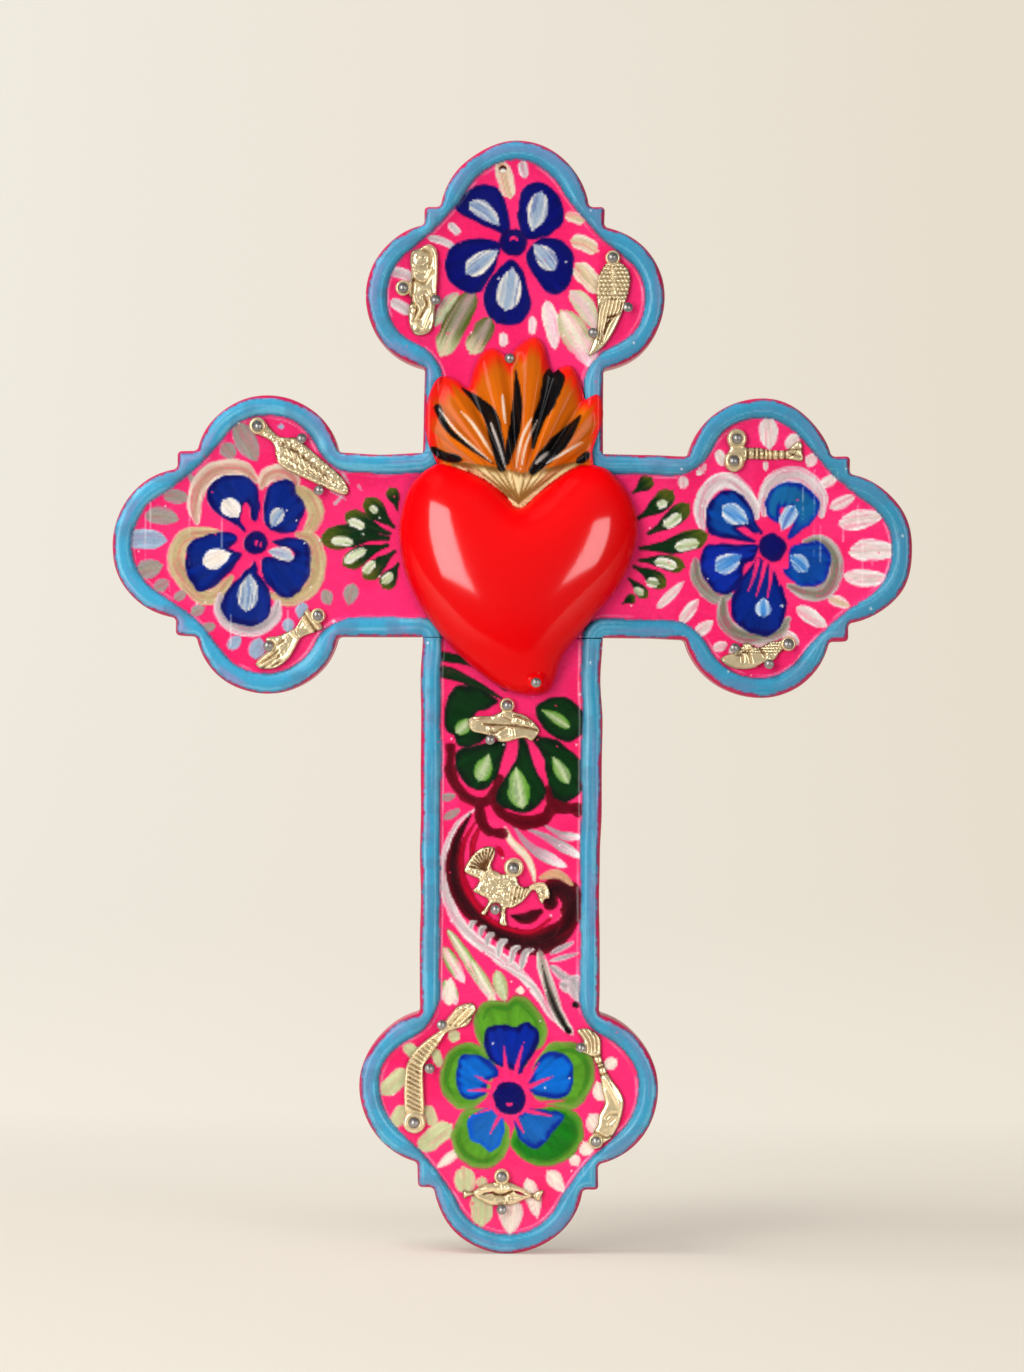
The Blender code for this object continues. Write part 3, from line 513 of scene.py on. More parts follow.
def handCut(outline):
    # the saw's small wandering, the same for all that follows an edge, with the corners worn round
    step = 0.5
    line = evenly(outline, step)
    wear = round(board["cornerWear"] / step)
    line = sum(np.roll(line, shift, axis=0) for shift in range(-wear, wear + 1)) / (2 * wear + 1)
    x, z = line.T
    stray = [noise(x * 0.09 + 7, z * 0.09 + 3, 31) - 0.5, noise(x * 0.09 + 57, z * 0.09 + 13, 32) - 0.5]
    return line + board["cutWobble"] * np.column_stack(stray)


rimEdge = handCut(crossOutline())
fieldEdge = handCut(crossOutline(board["rimWidth"]))


def boardHeight(flat):
    # height over the sunk field, and how far each point is over the rim (0 at the cut edge, 1 at the field)
    fromCut = distanceTo(flat, rimEdge)
    fromField = distanceTo(flat, fieldEdge)
    sunk = insideOf(flat, fieldEdge)
    share = fromCut / np.maximum(fromCut + fromField, 1e-6)
    share[sunk] = 1.0
    swell = 1 - np.abs(2 * share - 1.0) ** 2.4
    shoulder = board["rimShoulder"]
    bead = shoulder + (board["rimHeight"] - shoulder) * np.sqrt(np.clip(swell, 0, 1))
    bead = bead + 0.10 * (cloud(flat, 0.12, 41) - 0.5)
    rounding = board["rimRound"]
    drop = rounding - np.sqrt(np.clip(rounding**2 - np.clip(rounding - fromCut, 0, None) ** 2, 0, None))
    fillet = board["filletHeight"] * np.clip(1 - fromField / board["filletWidth"], 0, 1) ** 2
    height = np.where(sunk, fillet, np.maximum(bead - drop * 0.5, 0.5))
    return height, share, fromCut, np.where(sunk, -fromField, fromField)


def newCanvas(flat, upright):
    x, z = flat[:, 0], flat[:, 1]
    if upright:
        u = photo["centre"][0] + photo["uprightShift"] + photo["uprightLean"] * z + x / photo["scale"]
        v = photo["centre"][1] - z / photo["scale"]
    else:
        u = photo["centre"][0] + x / photo["scale"]
        v = photo["centre"][1] + photo["crossbarLean"] * x - z / photo["scale"]
    return {
        "u": u,
        "v": v,
        "colour": np.zeros((len(flat), 3)),
        "relief": np.zeros(len(flat)),
        "open": np.ones(len(flat)),
    }


ground = {
    "pink": tone(255, 44, 116),
    "deepPink": tone(246, 30, 100),
    "palePink": tone(255, 96, 150),
    "paleLine": tone(255, 205, 220),
    "crimson": tone(206, 26, 84),
    "plum": tone(112, 28, 84),
    "blue": tone(62, 156, 194),
    "lightBlue": tone(118, 188, 214),
    "greyBlue": tone(82, 134, 168),
    "lilac": tone(138, 132, 180),
    "darkLine": tone(58, 70, 110),
}


def groundCoat(canvas, flat, share, fromCut, fromField):
    # pink all over, with a painted highlight line just inside the foot of the rim, then the blue rim with
    # its uneven edges and a painted shade line along its foot
    x, z = flat[:, 0], flat[:, 1]
    broad = cloud(flat, 0.11, 51)
    hair = noise(x * 0.5, z * 2.2, 52)
    pink = ground["pink"] * np.ones((len(flat), 1))
    tint(pink, ground["deepPink"], 0.7 * ease(0.45, 0.75, broad))
    tint(pink, ground["palePink"], 0.10 * ease(0.6, 0.9, hair))
    # a pale line just inside the rim's foot: a painted highlight on the fillet
    near = np.exp(-((fromField + 0.75) / 0.22) ** 2)
    tint(pink, ground["paleLine"], 0.5 * near * ease(0.35, 0.6, cloud(flat, 0.25, 53)))
    canvas["colour"][:] = pink
    stray = 0.9 * (cloud(flat, 0.16, 54) - 0.5) + 0.35 * (cloud(flat, 0.9, 55) - 0.5)
    outerStray = 0.8 * (cloud(flat, 0.22, 56) - 0.5) + 0.5 * (cloud(flat, 1.1, 57) - 0.5)
    streak = noise(fromCut * 2.4, (x + z) * 0.05, 58)
    patchy = cloud(flat, 0.14, 59)
    blue = ground["blue"] * np.ones((len(flat), 1))
    tint(blue, ground["lightBlue"], 0.7 * ease(0.5, 0.85, streak))
    drift = 0.55 * patchy + 0.45 * noise(fromCut * 1.8, (x - z) * 0.06, 60)
    lilac = ease(0.42, 0.75, drift) * (1 - ease(0.45, 0.8, share))
    rightward = x / board["arm"]  # the rim is paler to the left and greener to the right
    tint(blue, ground["lilac"], 0.55 * lilac * (1 - 0.5 * rightward))
    blue *= (1 - 0.09 * rightward)[:, None]
    tint(blue, ground["greyBlue"], 0.5 * ease(0.5, 0.8, cloud(flat, 0.3, 61)))
    rim = ease(-0.25, 0.05, fromField + stray * 0.6 + 0.12)
    # a dark line where the rim meets the field: painted shade at the rim's foot
    dark = np.exp(-((fromField + stray * 0.6 + 0.05) / 0.16) ** 2)
    tint(canvas["colour"], blue, rim)
    tint(canvas["colour"], ground["darkLine"], 0.55 * dark)
    tint(canvas["colour"], ground["crimson"], 1 - ease(0.35, 0.75, fromCut + outerStray))
    line = np.exp(-((fromCut + outerStray - 0.62) / 0.14) ** 2)
    tint(canvas["colour"], ground["plum"], 0.45 * line)
    canvas["open"] = 1 - rim


# colours of the brush
brush = {
    "navy": tone(4, 8, 94),
    "cobalt": tone(4, 38, 150),
    "deepBlue": tone(4, 11, 104),
    "marine": tone(0, 34, 124),
    "ocean": tone(4, 66, 150),
    "teal": tone(18, 98, 156),
    "azure": tone(4, 100, 198),
    "sky": tone(20, 96, 178),
    "skyLight": tone(70, 140, 210),
    "royal": tone(4, 84, 206),
    "ink": tone(24, 4, 84),
    "cream": tone(250, 236, 218),
    "white": tone(252, 244, 242),
    "blush": tone(250, 214, 222),
    "beige": tone(206, 170, 142),
    "sand": tone(222, 196, 156),
    "clay": tone(198, 152, 128),
    "khaki": tone(188, 166, 118),
    "stone": tone(122, 124, 104),
    "shell": tone(232, 206, 200),
    "olive": tone(176, 172, 116),
    "paleOlive": tone(212, 210, 166),
    "pistachio": tone(200, 206, 154),
    "taupe": tone(160, 148, 134),
    "grey": tone(166, 158, 160),
    "pearl": tone(208, 188, 190),
    "blueGrey": tone(150, 172, 198),
    "paleBlue": tone(176, 200, 224),
    "lilacGrey": tone(176, 150, 160),
    "leaf": tone(6, 48, 15),
    "leafDark": tone(10, 30, 18),
    "moss": tone(74, 88, 20),
    "grass": tone(84, 148, 36),
    "sage": tone(120, 156, 66),
    "deepGrass": tone(20, 116, 22),
    "paleGreen": tone(196, 210, 164),
    "maroon": tone(118, 2, 26),
    "wine": tone(86, 2, 20),
    "blackRed": tone(42, 8, 14),
    "crimson": tone(190, 0, 42),
    "tan": tone(216, 160, 116),
    "black": tone(14, 12, 14),
    "pink": tone(255, 44, 116),
}


def strokes(sheet, colours, marks, **look):
    # several strokes of one colour: each mark is (width, point, point, ...)
    first, second = (brush[name] for name in colours.split()[:2])
    more = [brush[name] for name in colours.split()[2:]]
    for width, *path in marks:
        dab(sheet, path, width, (first, second, *more), **look)


def petals(sheet, colours, outlines, eye, **look):
    # several patches of one colour about the eye of a flower
    first, second = (brush[name] for name in colours.split())
    for outline in outlines:
        patch(sheet, outline, (first, second), eye, **look)


def disc(centre, radius):
    angles = np.linspace(0, 2 * math.pi, 10, endpoint=False)
    return [(centre[0] + radius * math.cos(a), centre[1] + radius * math.sin(a)) for a in angles]


def sprig(sheet, leaves, glints):
    strokes(sheet, "leafDark leaf moss", leaves, shape="lobe", dry=0.12, ragged=0.1)
    strokes(sheet, "white paleGreen", glints, dry=0.35)


def varnishRunSheen(sheet, runs):
    # thin raised lines where the varnish ran down, coloured pale as a painted sheen on each run: each is (x,
    # top, foot)
    marks = [(4, (x, top), (x + 2, foot)) for x, top, foot in runs]
    strokes(sheet, "white white", marks, shape="line", cover=0.45, thick=0.03)


# where the drawing sheets lie in the photograph
topSheet = {"corner": (0, 0), "zoom": 1.0, "size": (1024, 420)}
leftSheet = {"corner": (100, 380), "zoom": 4.48, "size": (1568, 1434)}
rightSheet = {"corner": (600, 380), "zoom": 4.9, "size": (1568, 1568)}
shaftSheet = {"corner": (400, 640), "zoom": 4.355, "size": (958, 1800)}
footSheet = {"corner": (340, 960), "zoom": 4.612, "size": (1568, 1568)}


def paintTop(canvas):
    sheet = sheetOf(canvas, **topSheet)
    strokes(sheet, "cream sand", [
        (17, (503, 161), (508, 178), (513, 197)), (15, (574, 240), (586, 242), (600, 250)),
        (11, (569, 214), (587, 220)), (20, (579, 264), (590, 276), (604, 290)),
    ], dry=0.3)
    strokes(sheet, "white pearl", [
        (10, (525, 161), (528, 177)), (8, (452, 224), (462, 234)), (8, (431, 238), (444, 241), (457, 247)),
        (11, (391, 272), (404, 274), (416, 280)), (12, (393, 302), (402, 306), (412, 313)),
    ], dry=0.3)
    strokes(sheet, "paleOlive shell", [(20, (573, 291), (588, 306), (600, 329))], shape="leaf")
    strokes(sheet, "grey paleGreen", [(15, (460, 293), (447, 310), (437, 326))], shape="leaf", dry=0.4)
    strokes(sheet, "moss taupe paleOlive", [
        (23, (476, 293), (459, 320), (443, 355)), (20, (492, 319), (482, 337), (473, 353)),
    ], dry=0.2)
    strokes(sheet, "cream blush", [(16, (549, 301), (554, 324), (557, 348))], shape="leaf", dry=0.2)
    strokes(sheet, "olive cream blush", [(28, (564, 311), (578, 334), (597, 367))], shape="leaf", dry=0.3)
    strokes(sheet, "cream blush", [(9, (505, 333), (506, 346)), (8, (535, 316), (534, 334))])
    eye = (516, 242)
    petals(sheet, "navy deepBlue", [
        [(511, 234), (488, 226), (463, 214), (460, 205), (474, 189), (490, 184), (503, 191), (511, 214)],
        [(521, 222), (522, 200), (528, 186), (544, 181), (560, 193), (567, 209), (564, 224), (548, 236),
         (529, 238)],
        [(529, 257), (540, 240), (560, 238), (575, 250), (576, 269), (570, 286), (558, 294), (543, 285)],
        [(511, 259), (494, 278), (485, 295), (491, 316), (507, 325), (524, 321), (533, 308), (531, 290),
         (523, 267)],
        [(501, 242), (474, 239), (454, 248), (447, 263), (452, 281), (466, 292), (482, 292), (494, 274),
         (501, 258)],
    ], eye)
    petals(sheet, "ink navy", [disc(eye, 14)], eye)
    strokes(sheet, "cream blueGrey", [
        (17, (501, 224), (490, 213), (473, 203)), (20, (535, 229), (540, 212), (544, 192)),
        (19, (537, 245), (547, 255), (557, 268)), (26, (515, 269), (512, 288), (508, 309)),
        (20, (499, 251), (486, 260), (469, 273)),
    ], shape="egg", dry=0.3)
    strokes(sheet, "pink pink", [(3, (512, 240), (516, 237), (521, 240))], dry=0.0, thick=0.02)


def paintLeft(canvas):
    sheet = sheetOf(canvas, **leftSheet)
    strokes(sheet, "grey taupe", [
        (100, (600, 205), (640, 280), (690, 365)), (70, (538, 298), (590, 352)),
        (64, (275, 530), (330, 532), (388, 542)), (84, (198, 622), (262, 620), (340, 634)),
        (88, (160, 872), (215, 856), (270, 840)), (55, (238, 948), (300, 912)), (44, (328, 992), (378, 962)),
        (48, (403, 1058), (462, 1028)), (44, (450, 1122), (512, 1112)), (52, (1000, 948), (1022, 1012)),
        (62, (1130, 920), (1108, 1012)), (24, (392, 428), (402, 470)),
    ], shape="leaf", dry=0.25)
    strokes(sheet, "paleBlue blueGrey", [
        (96, (118, 736), (195, 724), (288, 730)), (58, (575, 1214), (622, 1158)),
        (76, (690, 1256), (712, 1168)), (56, (912, 1008), (888, 1072)), (52, (838, 1078), (842, 1140)),
        (30, (800, 205), (800, 226)),
    ], shape="leaf")
    strokes(sheet, "blush grey", [
        (15, (1030, 500), (1100, 545)), (15, (1045, 560), (1095, 505)), (14, (1078, 425), (1108, 470)),
        (12, (1150, 480), (1165, 500)),
    ], shape="taper")
    eye = (690, 738)
    bands = {
        "cream clay": [
            (82, (425, 646), (416, 571), (436, 486), (493, 422), (568, 400), (643, 413), (692, 460)),
            (76, (714, 486), (739, 439), (793, 420), (852, 443), (872, 486)),
        ],
        "sand khaki": [
            (84, (544, 700), (455, 699), (382, 714), (342, 768), (337, 834), (369, 895), (408, 942),
             (455, 979), (511, 975), (582, 895)),
            (78, (859, 494), (916, 524), (951, 571), (957, 629), (914, 693)),
            (76, (878, 697), (942, 721), (968, 787), (966, 871), (934, 937), (872, 982), (812, 990),
             (763, 969)),
        ],
        "blush grey": [
            (76, (532, 975), (538, 1050), (585, 1099), (652, 1122), (720, 1112), (776, 1069), (793, 1005)),
        ],
    }
    for colours, marks in bands.items():
        strokes(sheet, colours, marks, shape="band", dry=0.3, thick=0.12)
    petals(sheet, "navy marine", [
        [(470, 520), (500, 460), (570, 432), (640, 440), (690, 480), (706, 550), (698, 636), (672, 628),
         (660, 580), (642, 560), (630, 590), (622, 640), (645, 690), (590, 655), (520, 610), (480, 570)],
        [(740, 490), (790, 458), (850, 462), (870, 510), (900, 550), (905, 600), (880, 660), (850, 690),
         (780, 690), (740, 670), (722, 610), (728, 550)],
        [(762, 728), (850, 715), (915, 730), (940, 800), (930, 890), (885, 955), (830, 985), (770, 950),
         (725, 890), (716, 815), (770, 800), (830, 812), (868, 790), (835, 765), (790, 752)],
        [(685, 815), (702, 850), (702, 880), (740, 920), (762, 990), (755, 1060), (700, 1105), (640, 1110),
         (570, 1085), (540, 1040), (545, 980), (590, 920), (640, 870), (665, 850)],
        [(605, 705), (550, 688), (470, 705), (405, 730), (376, 800), (385, 880), (425, 950), (470, 955),
         (540, 905), (590, 850), (628, 790), (590, 772), (565, 765), (600, 735)],
    ], eye)
    petals(sheet, "ink navy", [disc(eye, 54)], eye)
    strokes(sheet, "pink pink", [
        (14, (694, 724), (690, 752)), (10, (716, 736), (708, 760)),
    ], dry=0.0, thick=0.02)
    strokes(sheet, "white cream", [
        (88, (610, 620), (585, 590), (545, 550)), (84, (575, 788), (520, 806), (458, 834)),
    ], shape="egg")
    strokes(sheet, "cream blueGrey", [
        (62, (762, 662), (780, 625), (806, 588)), (60, (748, 776), (800, 782), (858, 806)),
        (92, (664, 884), (660, 950), (648, 1040)),
    ], shape="egg", dry=0.3)
    leaves = [
        (58, (1325, 585), (1312, 540), (1290, 488)), (92, (1308, 662), (1250, 610), (1185, 538)),
        (88, (1290, 692), (1200, 660), (1095, 606)), (112, (1282, 714), (1150, 702), (985, 722)),
        (88, (1280, 745), (1190, 775), (1085, 834)), (82, (1312, 772), (1250, 825), (1178, 892)),
        (78, (1330, 828), (1300, 880), (1264, 936)),
    ]
    glints = [
        (38, (1108, 638), (1140, 648), (1176, 668)), (40, (1032, 728), (1080, 728), (1124, 738)),
        (44, (1092, 822), (1136, 790), (1184, 766)), (40, (1178, 872), (1200, 842), (1224, 822)),
        (44, (1262, 912), (1304, 874)), (30, (1205, 572), (1232, 600)),
    ]
    sprig(sheet, leaves, glints)
    varnishRunSheen(sheet, [
        (195, 600, 820), (216, 560, 690), (393, 560, 840), (300, 800, 960), (536, 610, 760),
        (580, 1060, 1200), (836, 1040, 1130),
    ])


def paintRight(canvas):
    sheet = sheetOf(canvas, **rightSheet)
    strokes(sheet, "white shell", [
        (92, (812, 176), (818, 250), (822, 326)), (62, (960, 258), (938, 286), (908, 324)),
        (52, (572, 336), (594, 412)), (72, (480, 425), (502, 446)), (54, (398, 470), (402, 528)),
        (25, (806, 390), (804, 436)), (58, (1036, 356), (1018, 416)), (56, (1078, 506), (1156, 460)),
        (62, (1126, 616), (1240, 560)), (94, (1170, 700), (1260, 674), (1380, 652)),
        (108, (1222, 836), (1330, 822), (1458, 826)), (88, (1196, 950), (1290, 962), (1402, 956)),
        (72, (966, 1106), (1030, 1150), (1108, 1196)), (60, (898, 1232), (974, 1284)),
        (52, (556, 1314), (622, 1286)), (60, (468, 1244), (548, 1176)), (56, (390, 1186), (478, 1072)),
        (48, (280, 1114), (404, 986)), (34, (632, 1328), (660, 1322)), (50, (760, 1290), (830, 1284)),
    ], shape="leaf", dry=0.3)
    strokes(sheet, "blush sand", [(56, (1118, 1058), (1220, 1098))], shape="leaf", dry=0.3)
    eye = (840, 812)
    bands = {
        "white pearl": [
            (80, (502, 724), (487, 648), (506, 557), (573, 493), (632, 489), (697, 535), (744, 600),
             (764, 662)),
            (86, (800, 648), (802, 571), (830, 504), (897, 457), (964, 457), (1031, 495), (1075, 562),
             (1081, 653)),
        ],
        "pearl stone": [
            (74, (464, 877), (477, 963), (525, 1030), (582, 1066), (638, 1047)),
            (82, (1002, 783), (1069, 778), (1126, 820), (1151, 886), (1136, 972), (1088, 1030), (1002, 1035),
             (926, 1001)),
            (78, (601, 1068), (601, 1154), (649, 1221), (725, 1251), (802, 1246), (878, 1228), (922, 1163)),
        ],
    }
    for colours, marks in bands.items():
        strokes(sheet, colours, marks, shape="band", dry=0.35, thick=0.12)
    flower = [
        ("navy ocean", [(590, 540), (650, 530), (700, 570), (745, 630), (758, 680), (790, 742), (762, 745),
         (712, 716), (668, 722), (700, 748), (760, 786), (700, 785), (600, 770), (540, 750), (515, 690),
         (520, 620), (550, 570)]),
        ("cobalt teal", [(900, 490), (970, 495), (1040, 540), (1070, 600), (1050, 670), (990, 720),
         (935, 765), (918, 758), (940, 700), (945, 640), (884, 618), (872, 690), (815, 660), (805, 600),
         (830, 530)]),
        ("navy cobalt", [(770, 802), (700, 800), (600, 795), (520, 805), (490, 850), (490, 930), (530, 1000),
         (590, 1045), (640, 1040), (690, 980), (700, 905), (755, 866)]),
        ("cobalt ocean", [(930, 820), (1000, 790), (1070, 780), (1120, 830), (1125, 900), (1100, 970),
         (1050, 1000), (980, 1000), (930, 970), (892, 920), (920, 905)]),
        ("navy marine", [(768, 870), (705, 950), (662, 1020), (640, 1090), (650, 1160), (700, 1215),
         (770, 1245), (840, 1240), (890, 1190), (912, 1110), (905, 1040), (872, 970), (830, 900)]),
    ]
    for colours, outline in flower:
        petals(sheet, colours, [outline], eye)
    petals(sheet, "ink navy", [disc(eye, 68)], eye)
    strokes(sheet, "pink pink", [
        (24, (770, 880), (750, 960), (722, 1030)), (24, (806, 890), (788, 970), (762, 1056)),
        (24, (838, 900), (832, 980), (818, 1064)), (18, (868, 920), (876, 1000)),
    ], shape="taper", dry=0.1, thick=0.02)
    strokes(sheet, "white skyLight", [
        (96, (716, 692), (668, 660), (600, 616)), (78, (888, 724), (912, 670), (946, 612)),
        (98, (684, 856), (630, 886), (566, 924)), (76, (932, 854), (972, 884), (1010, 926)),
        (78, (800, 1064), (800, 1104), (800, 1150)),
    ], shape="egg", dry=0.35)
    leaves = [
        (72, (158, 548), (200, 516), (246, 478)), (96, (184, 672), (268, 616), (348, 542)),
        (94, (234, 748), (330, 690), (428, 606)), (104, (194, 822), (350, 806), (520, 752)),
        (82, (190, 880), (300, 886), (408, 912)), (80, (164, 912), (240, 950), (314, 1010)),
        (62, (138, 970), (180, 1010), (224, 1064)), (48, (108, 1092), (168, 1058)),
    ]
    glints = [
        (40, (276, 612), (322, 596)), (56, (308, 708), (344, 690), (388, 656)),
        (54, (366, 814), (420, 802), (478, 792)), (52, (266, 888), (316, 894), (368, 912)),
        (48, (224, 984), (282, 994)), (40, (168, 1018), (208, 1048)),
    ]
    sprig(sheet, leaves, glints)
    varnishRunSheen(sheet, [
        (990, 520, 720), (1046, 430, 910), (1074, 700, 880), (1186, 640, 780), (1258, 590, 700),
        (1282, 760, 1000), (1328, 780, 900),
    ])


def paintShaft(canvas):
    sheet = sheetOf(canvas, **shaftSheet)
    strokes(sheet, "white pearl", [
        (50, (322, 742), (250, 800), (200, 900), (184, 1030), (208, 1150), (262, 1252), (350, 1334),
         (450, 1402), (540, 1482), (602, 1568)),
        (30, (392, 1396), (560, 1502), (640, 1626), (712, 1694)),
    ], shape="swell", dry=0.3)
    strokes(sheet, "grey lilacGrey white", [
        (50, (490, 815), (560, 900), (660, 960), (720, 990)), (45, (530, 815), (650, 870), (790, 950)),
        (40, (620, 805), (700, 850), (790, 860)),
    ], shape="drop", dry=0.3)
    scroll = [
        (70, (304, 764), (246, 868), (226, 1000), (258, 1128), (350, 1232), (440, 1292)),
        (112, (330, 1214), (400, 1268), (470, 1304), (560, 1326), (640, 1310), (704, 1262), (736, 1200)),
        (116, (676, 1294), (724, 1240), (744, 1170), (726, 1108), (676, 1086), (644, 1112), (650, 1146)),
        (52, (478, 1204), (540, 1216), (604, 1186)),
    ]
    strokes(sheet, "maroon blackRed", scroll, shape="swell", dry=0.1, thick=0.12)
    strokes(sheet, "maroon crimson", [
        (30, (334, 782), (276, 882), (262, 1000), (304, 1118), (372, 1192)),
        (24, (272, 902), (266, 1050), (336, 1176), (436, 1250), (562, 1274), (650, 1216)),
        (26, (352, 800), (316, 880), (306, 960)), (26, (416, 898), (442, 944)),
    ], shape="swell")
    hooks = [
        (24, (300, 1264), (306, 1240), (322, 1230)), (28, (342, 1294), (348, 1264), (366, 1252)),
        (30, (370, 1336), (380, 1298), (402, 1284)), (32, (420, 1382), (430, 1330), (456, 1312)),
        (32, (474, 1412), (488, 1356), (514, 1338)), (32, (520, 1434), (538, 1370), (568, 1350)),
    ]
    strokes(sheet, "white grey", hooks, shape="band", dry=0.2)
    strokes(sheet, "sand cream", [
        (36, (452, 816), (480, 880), (542, 942), (574, 1010), (580, 1062)),
    ], shape="leaf", dry=0.3)
    strokes(sheet, "beige tan", [(40, (600, 1040), (680, 1020), (750, 1070))], shape="leaf")
    strokes(sheet, "grey taupe", [
        (36, (178, 694), (238, 682)), (36, (188, 784), (256, 742)),
    ], shape="leaf", dry=0.25)
    strokes(sheet, "grass cream blush", [
        (50, (200, 1268), (282, 1392), (384, 1568)), (62, (184, 1346), (224, 1420), (272, 1496)),
        (60, (188, 1488), (236, 1592)), (62, (412, 1448), (448, 1576)),
        (44, (304, 1400), (392, 1554), (378, 1610)),
    ], shape="leaf", dry=0.35)
    strokes(sheet, "white taupe", [(54, (600, 1356), (622, 1450), (684, 1638), (742, 1718))], dry=0.3)
    strokes(sheet, "taupe black", [(34, (612, 1420), (640, 1530), (676, 1624), (724, 1704))], shape="swell")
    strokes(sheet, "blush grey", [
        (26, (646, 1370), (752, 1316)), (24, (648, 1400), (772, 1366)),
        (42, (648, 1420), (720, 1476), (782, 1466)), (66, (688, 1498), (790, 1530)),
        (72, (740, 1476), (790, 1582)),
    ], shape="leaf")
    strokes(sheet, "black black", [(26, (742, 1586), (772, 1596)), (26, (712, 1690), (734, 1716))])
    strokes(sheet, "maroon wine", [
        (44, (220, 470), (216, 560), (240, 640), (292, 690), (352, 712), (398, 682), (428, 604)),
        (44, (346, 716), (350, 790), (390, 836), (446, 846)),
        (56, (414, 706), (450, 764), (522, 796), (612, 786), (656, 742), (668, 656)),
        (52, (648, 660), (682, 722), (774, 740)),
    ], shape="line", ragged=0.3)
    strokes(sheet, "leafDark leaf", [
        (42, (190, 74), (330, 112), (462, 224)), (54, (194, 142), (300, 182), (442, 256)),
    ], shape="taper")
    eye = (500, 410)
    petals(sheet, "leafDark leaf", [
        [(250, 203), (330, 210), (420, 262), (398, 292), (322, 330), (352, 366), (408, 390), (380, 428),
         (300, 470), (250, 462), (232, 420), (195, 390), (190, 310), (215, 240)],
        [(590, 300), (640, 260), (700, 250), (760, 270), (802, 330), (798, 402), (744, 442), (684, 430),
         (620, 380)],
        [(436, 434), (400, 446), (300, 468), (245, 490), (240, 560), (270, 620), (320, 655), (380, 645),
         (424, 590), (438, 530), (462, 452)],
        [(516, 424), (500, 520), (432, 640), (416, 700), (452, 735), (540, 755), (600, 720), (630, 680),
         (622, 620), (588, 560), (560, 480), (542, 430)],
        [(572, 430), (618, 500), (634, 590), (660, 670), (704, 705), (762, 690), (788, 640), (790, 540),
         (750, 490), (684, 438), (622, 420)],
    ], eye)
    strokes(sheet, "grass paleGreen", [
        (60, (306, 348), (282, 374), (244, 408)), (46, (622, 308), (680, 340), (738, 382)),
        (74, (384, 504), (366, 556), (340, 616)), (94, (504, 562), (512, 640), (528, 732)),
        (58, (664, 512), (694, 560), (728, 624)),
    ], shape="egg", dry=0.3)


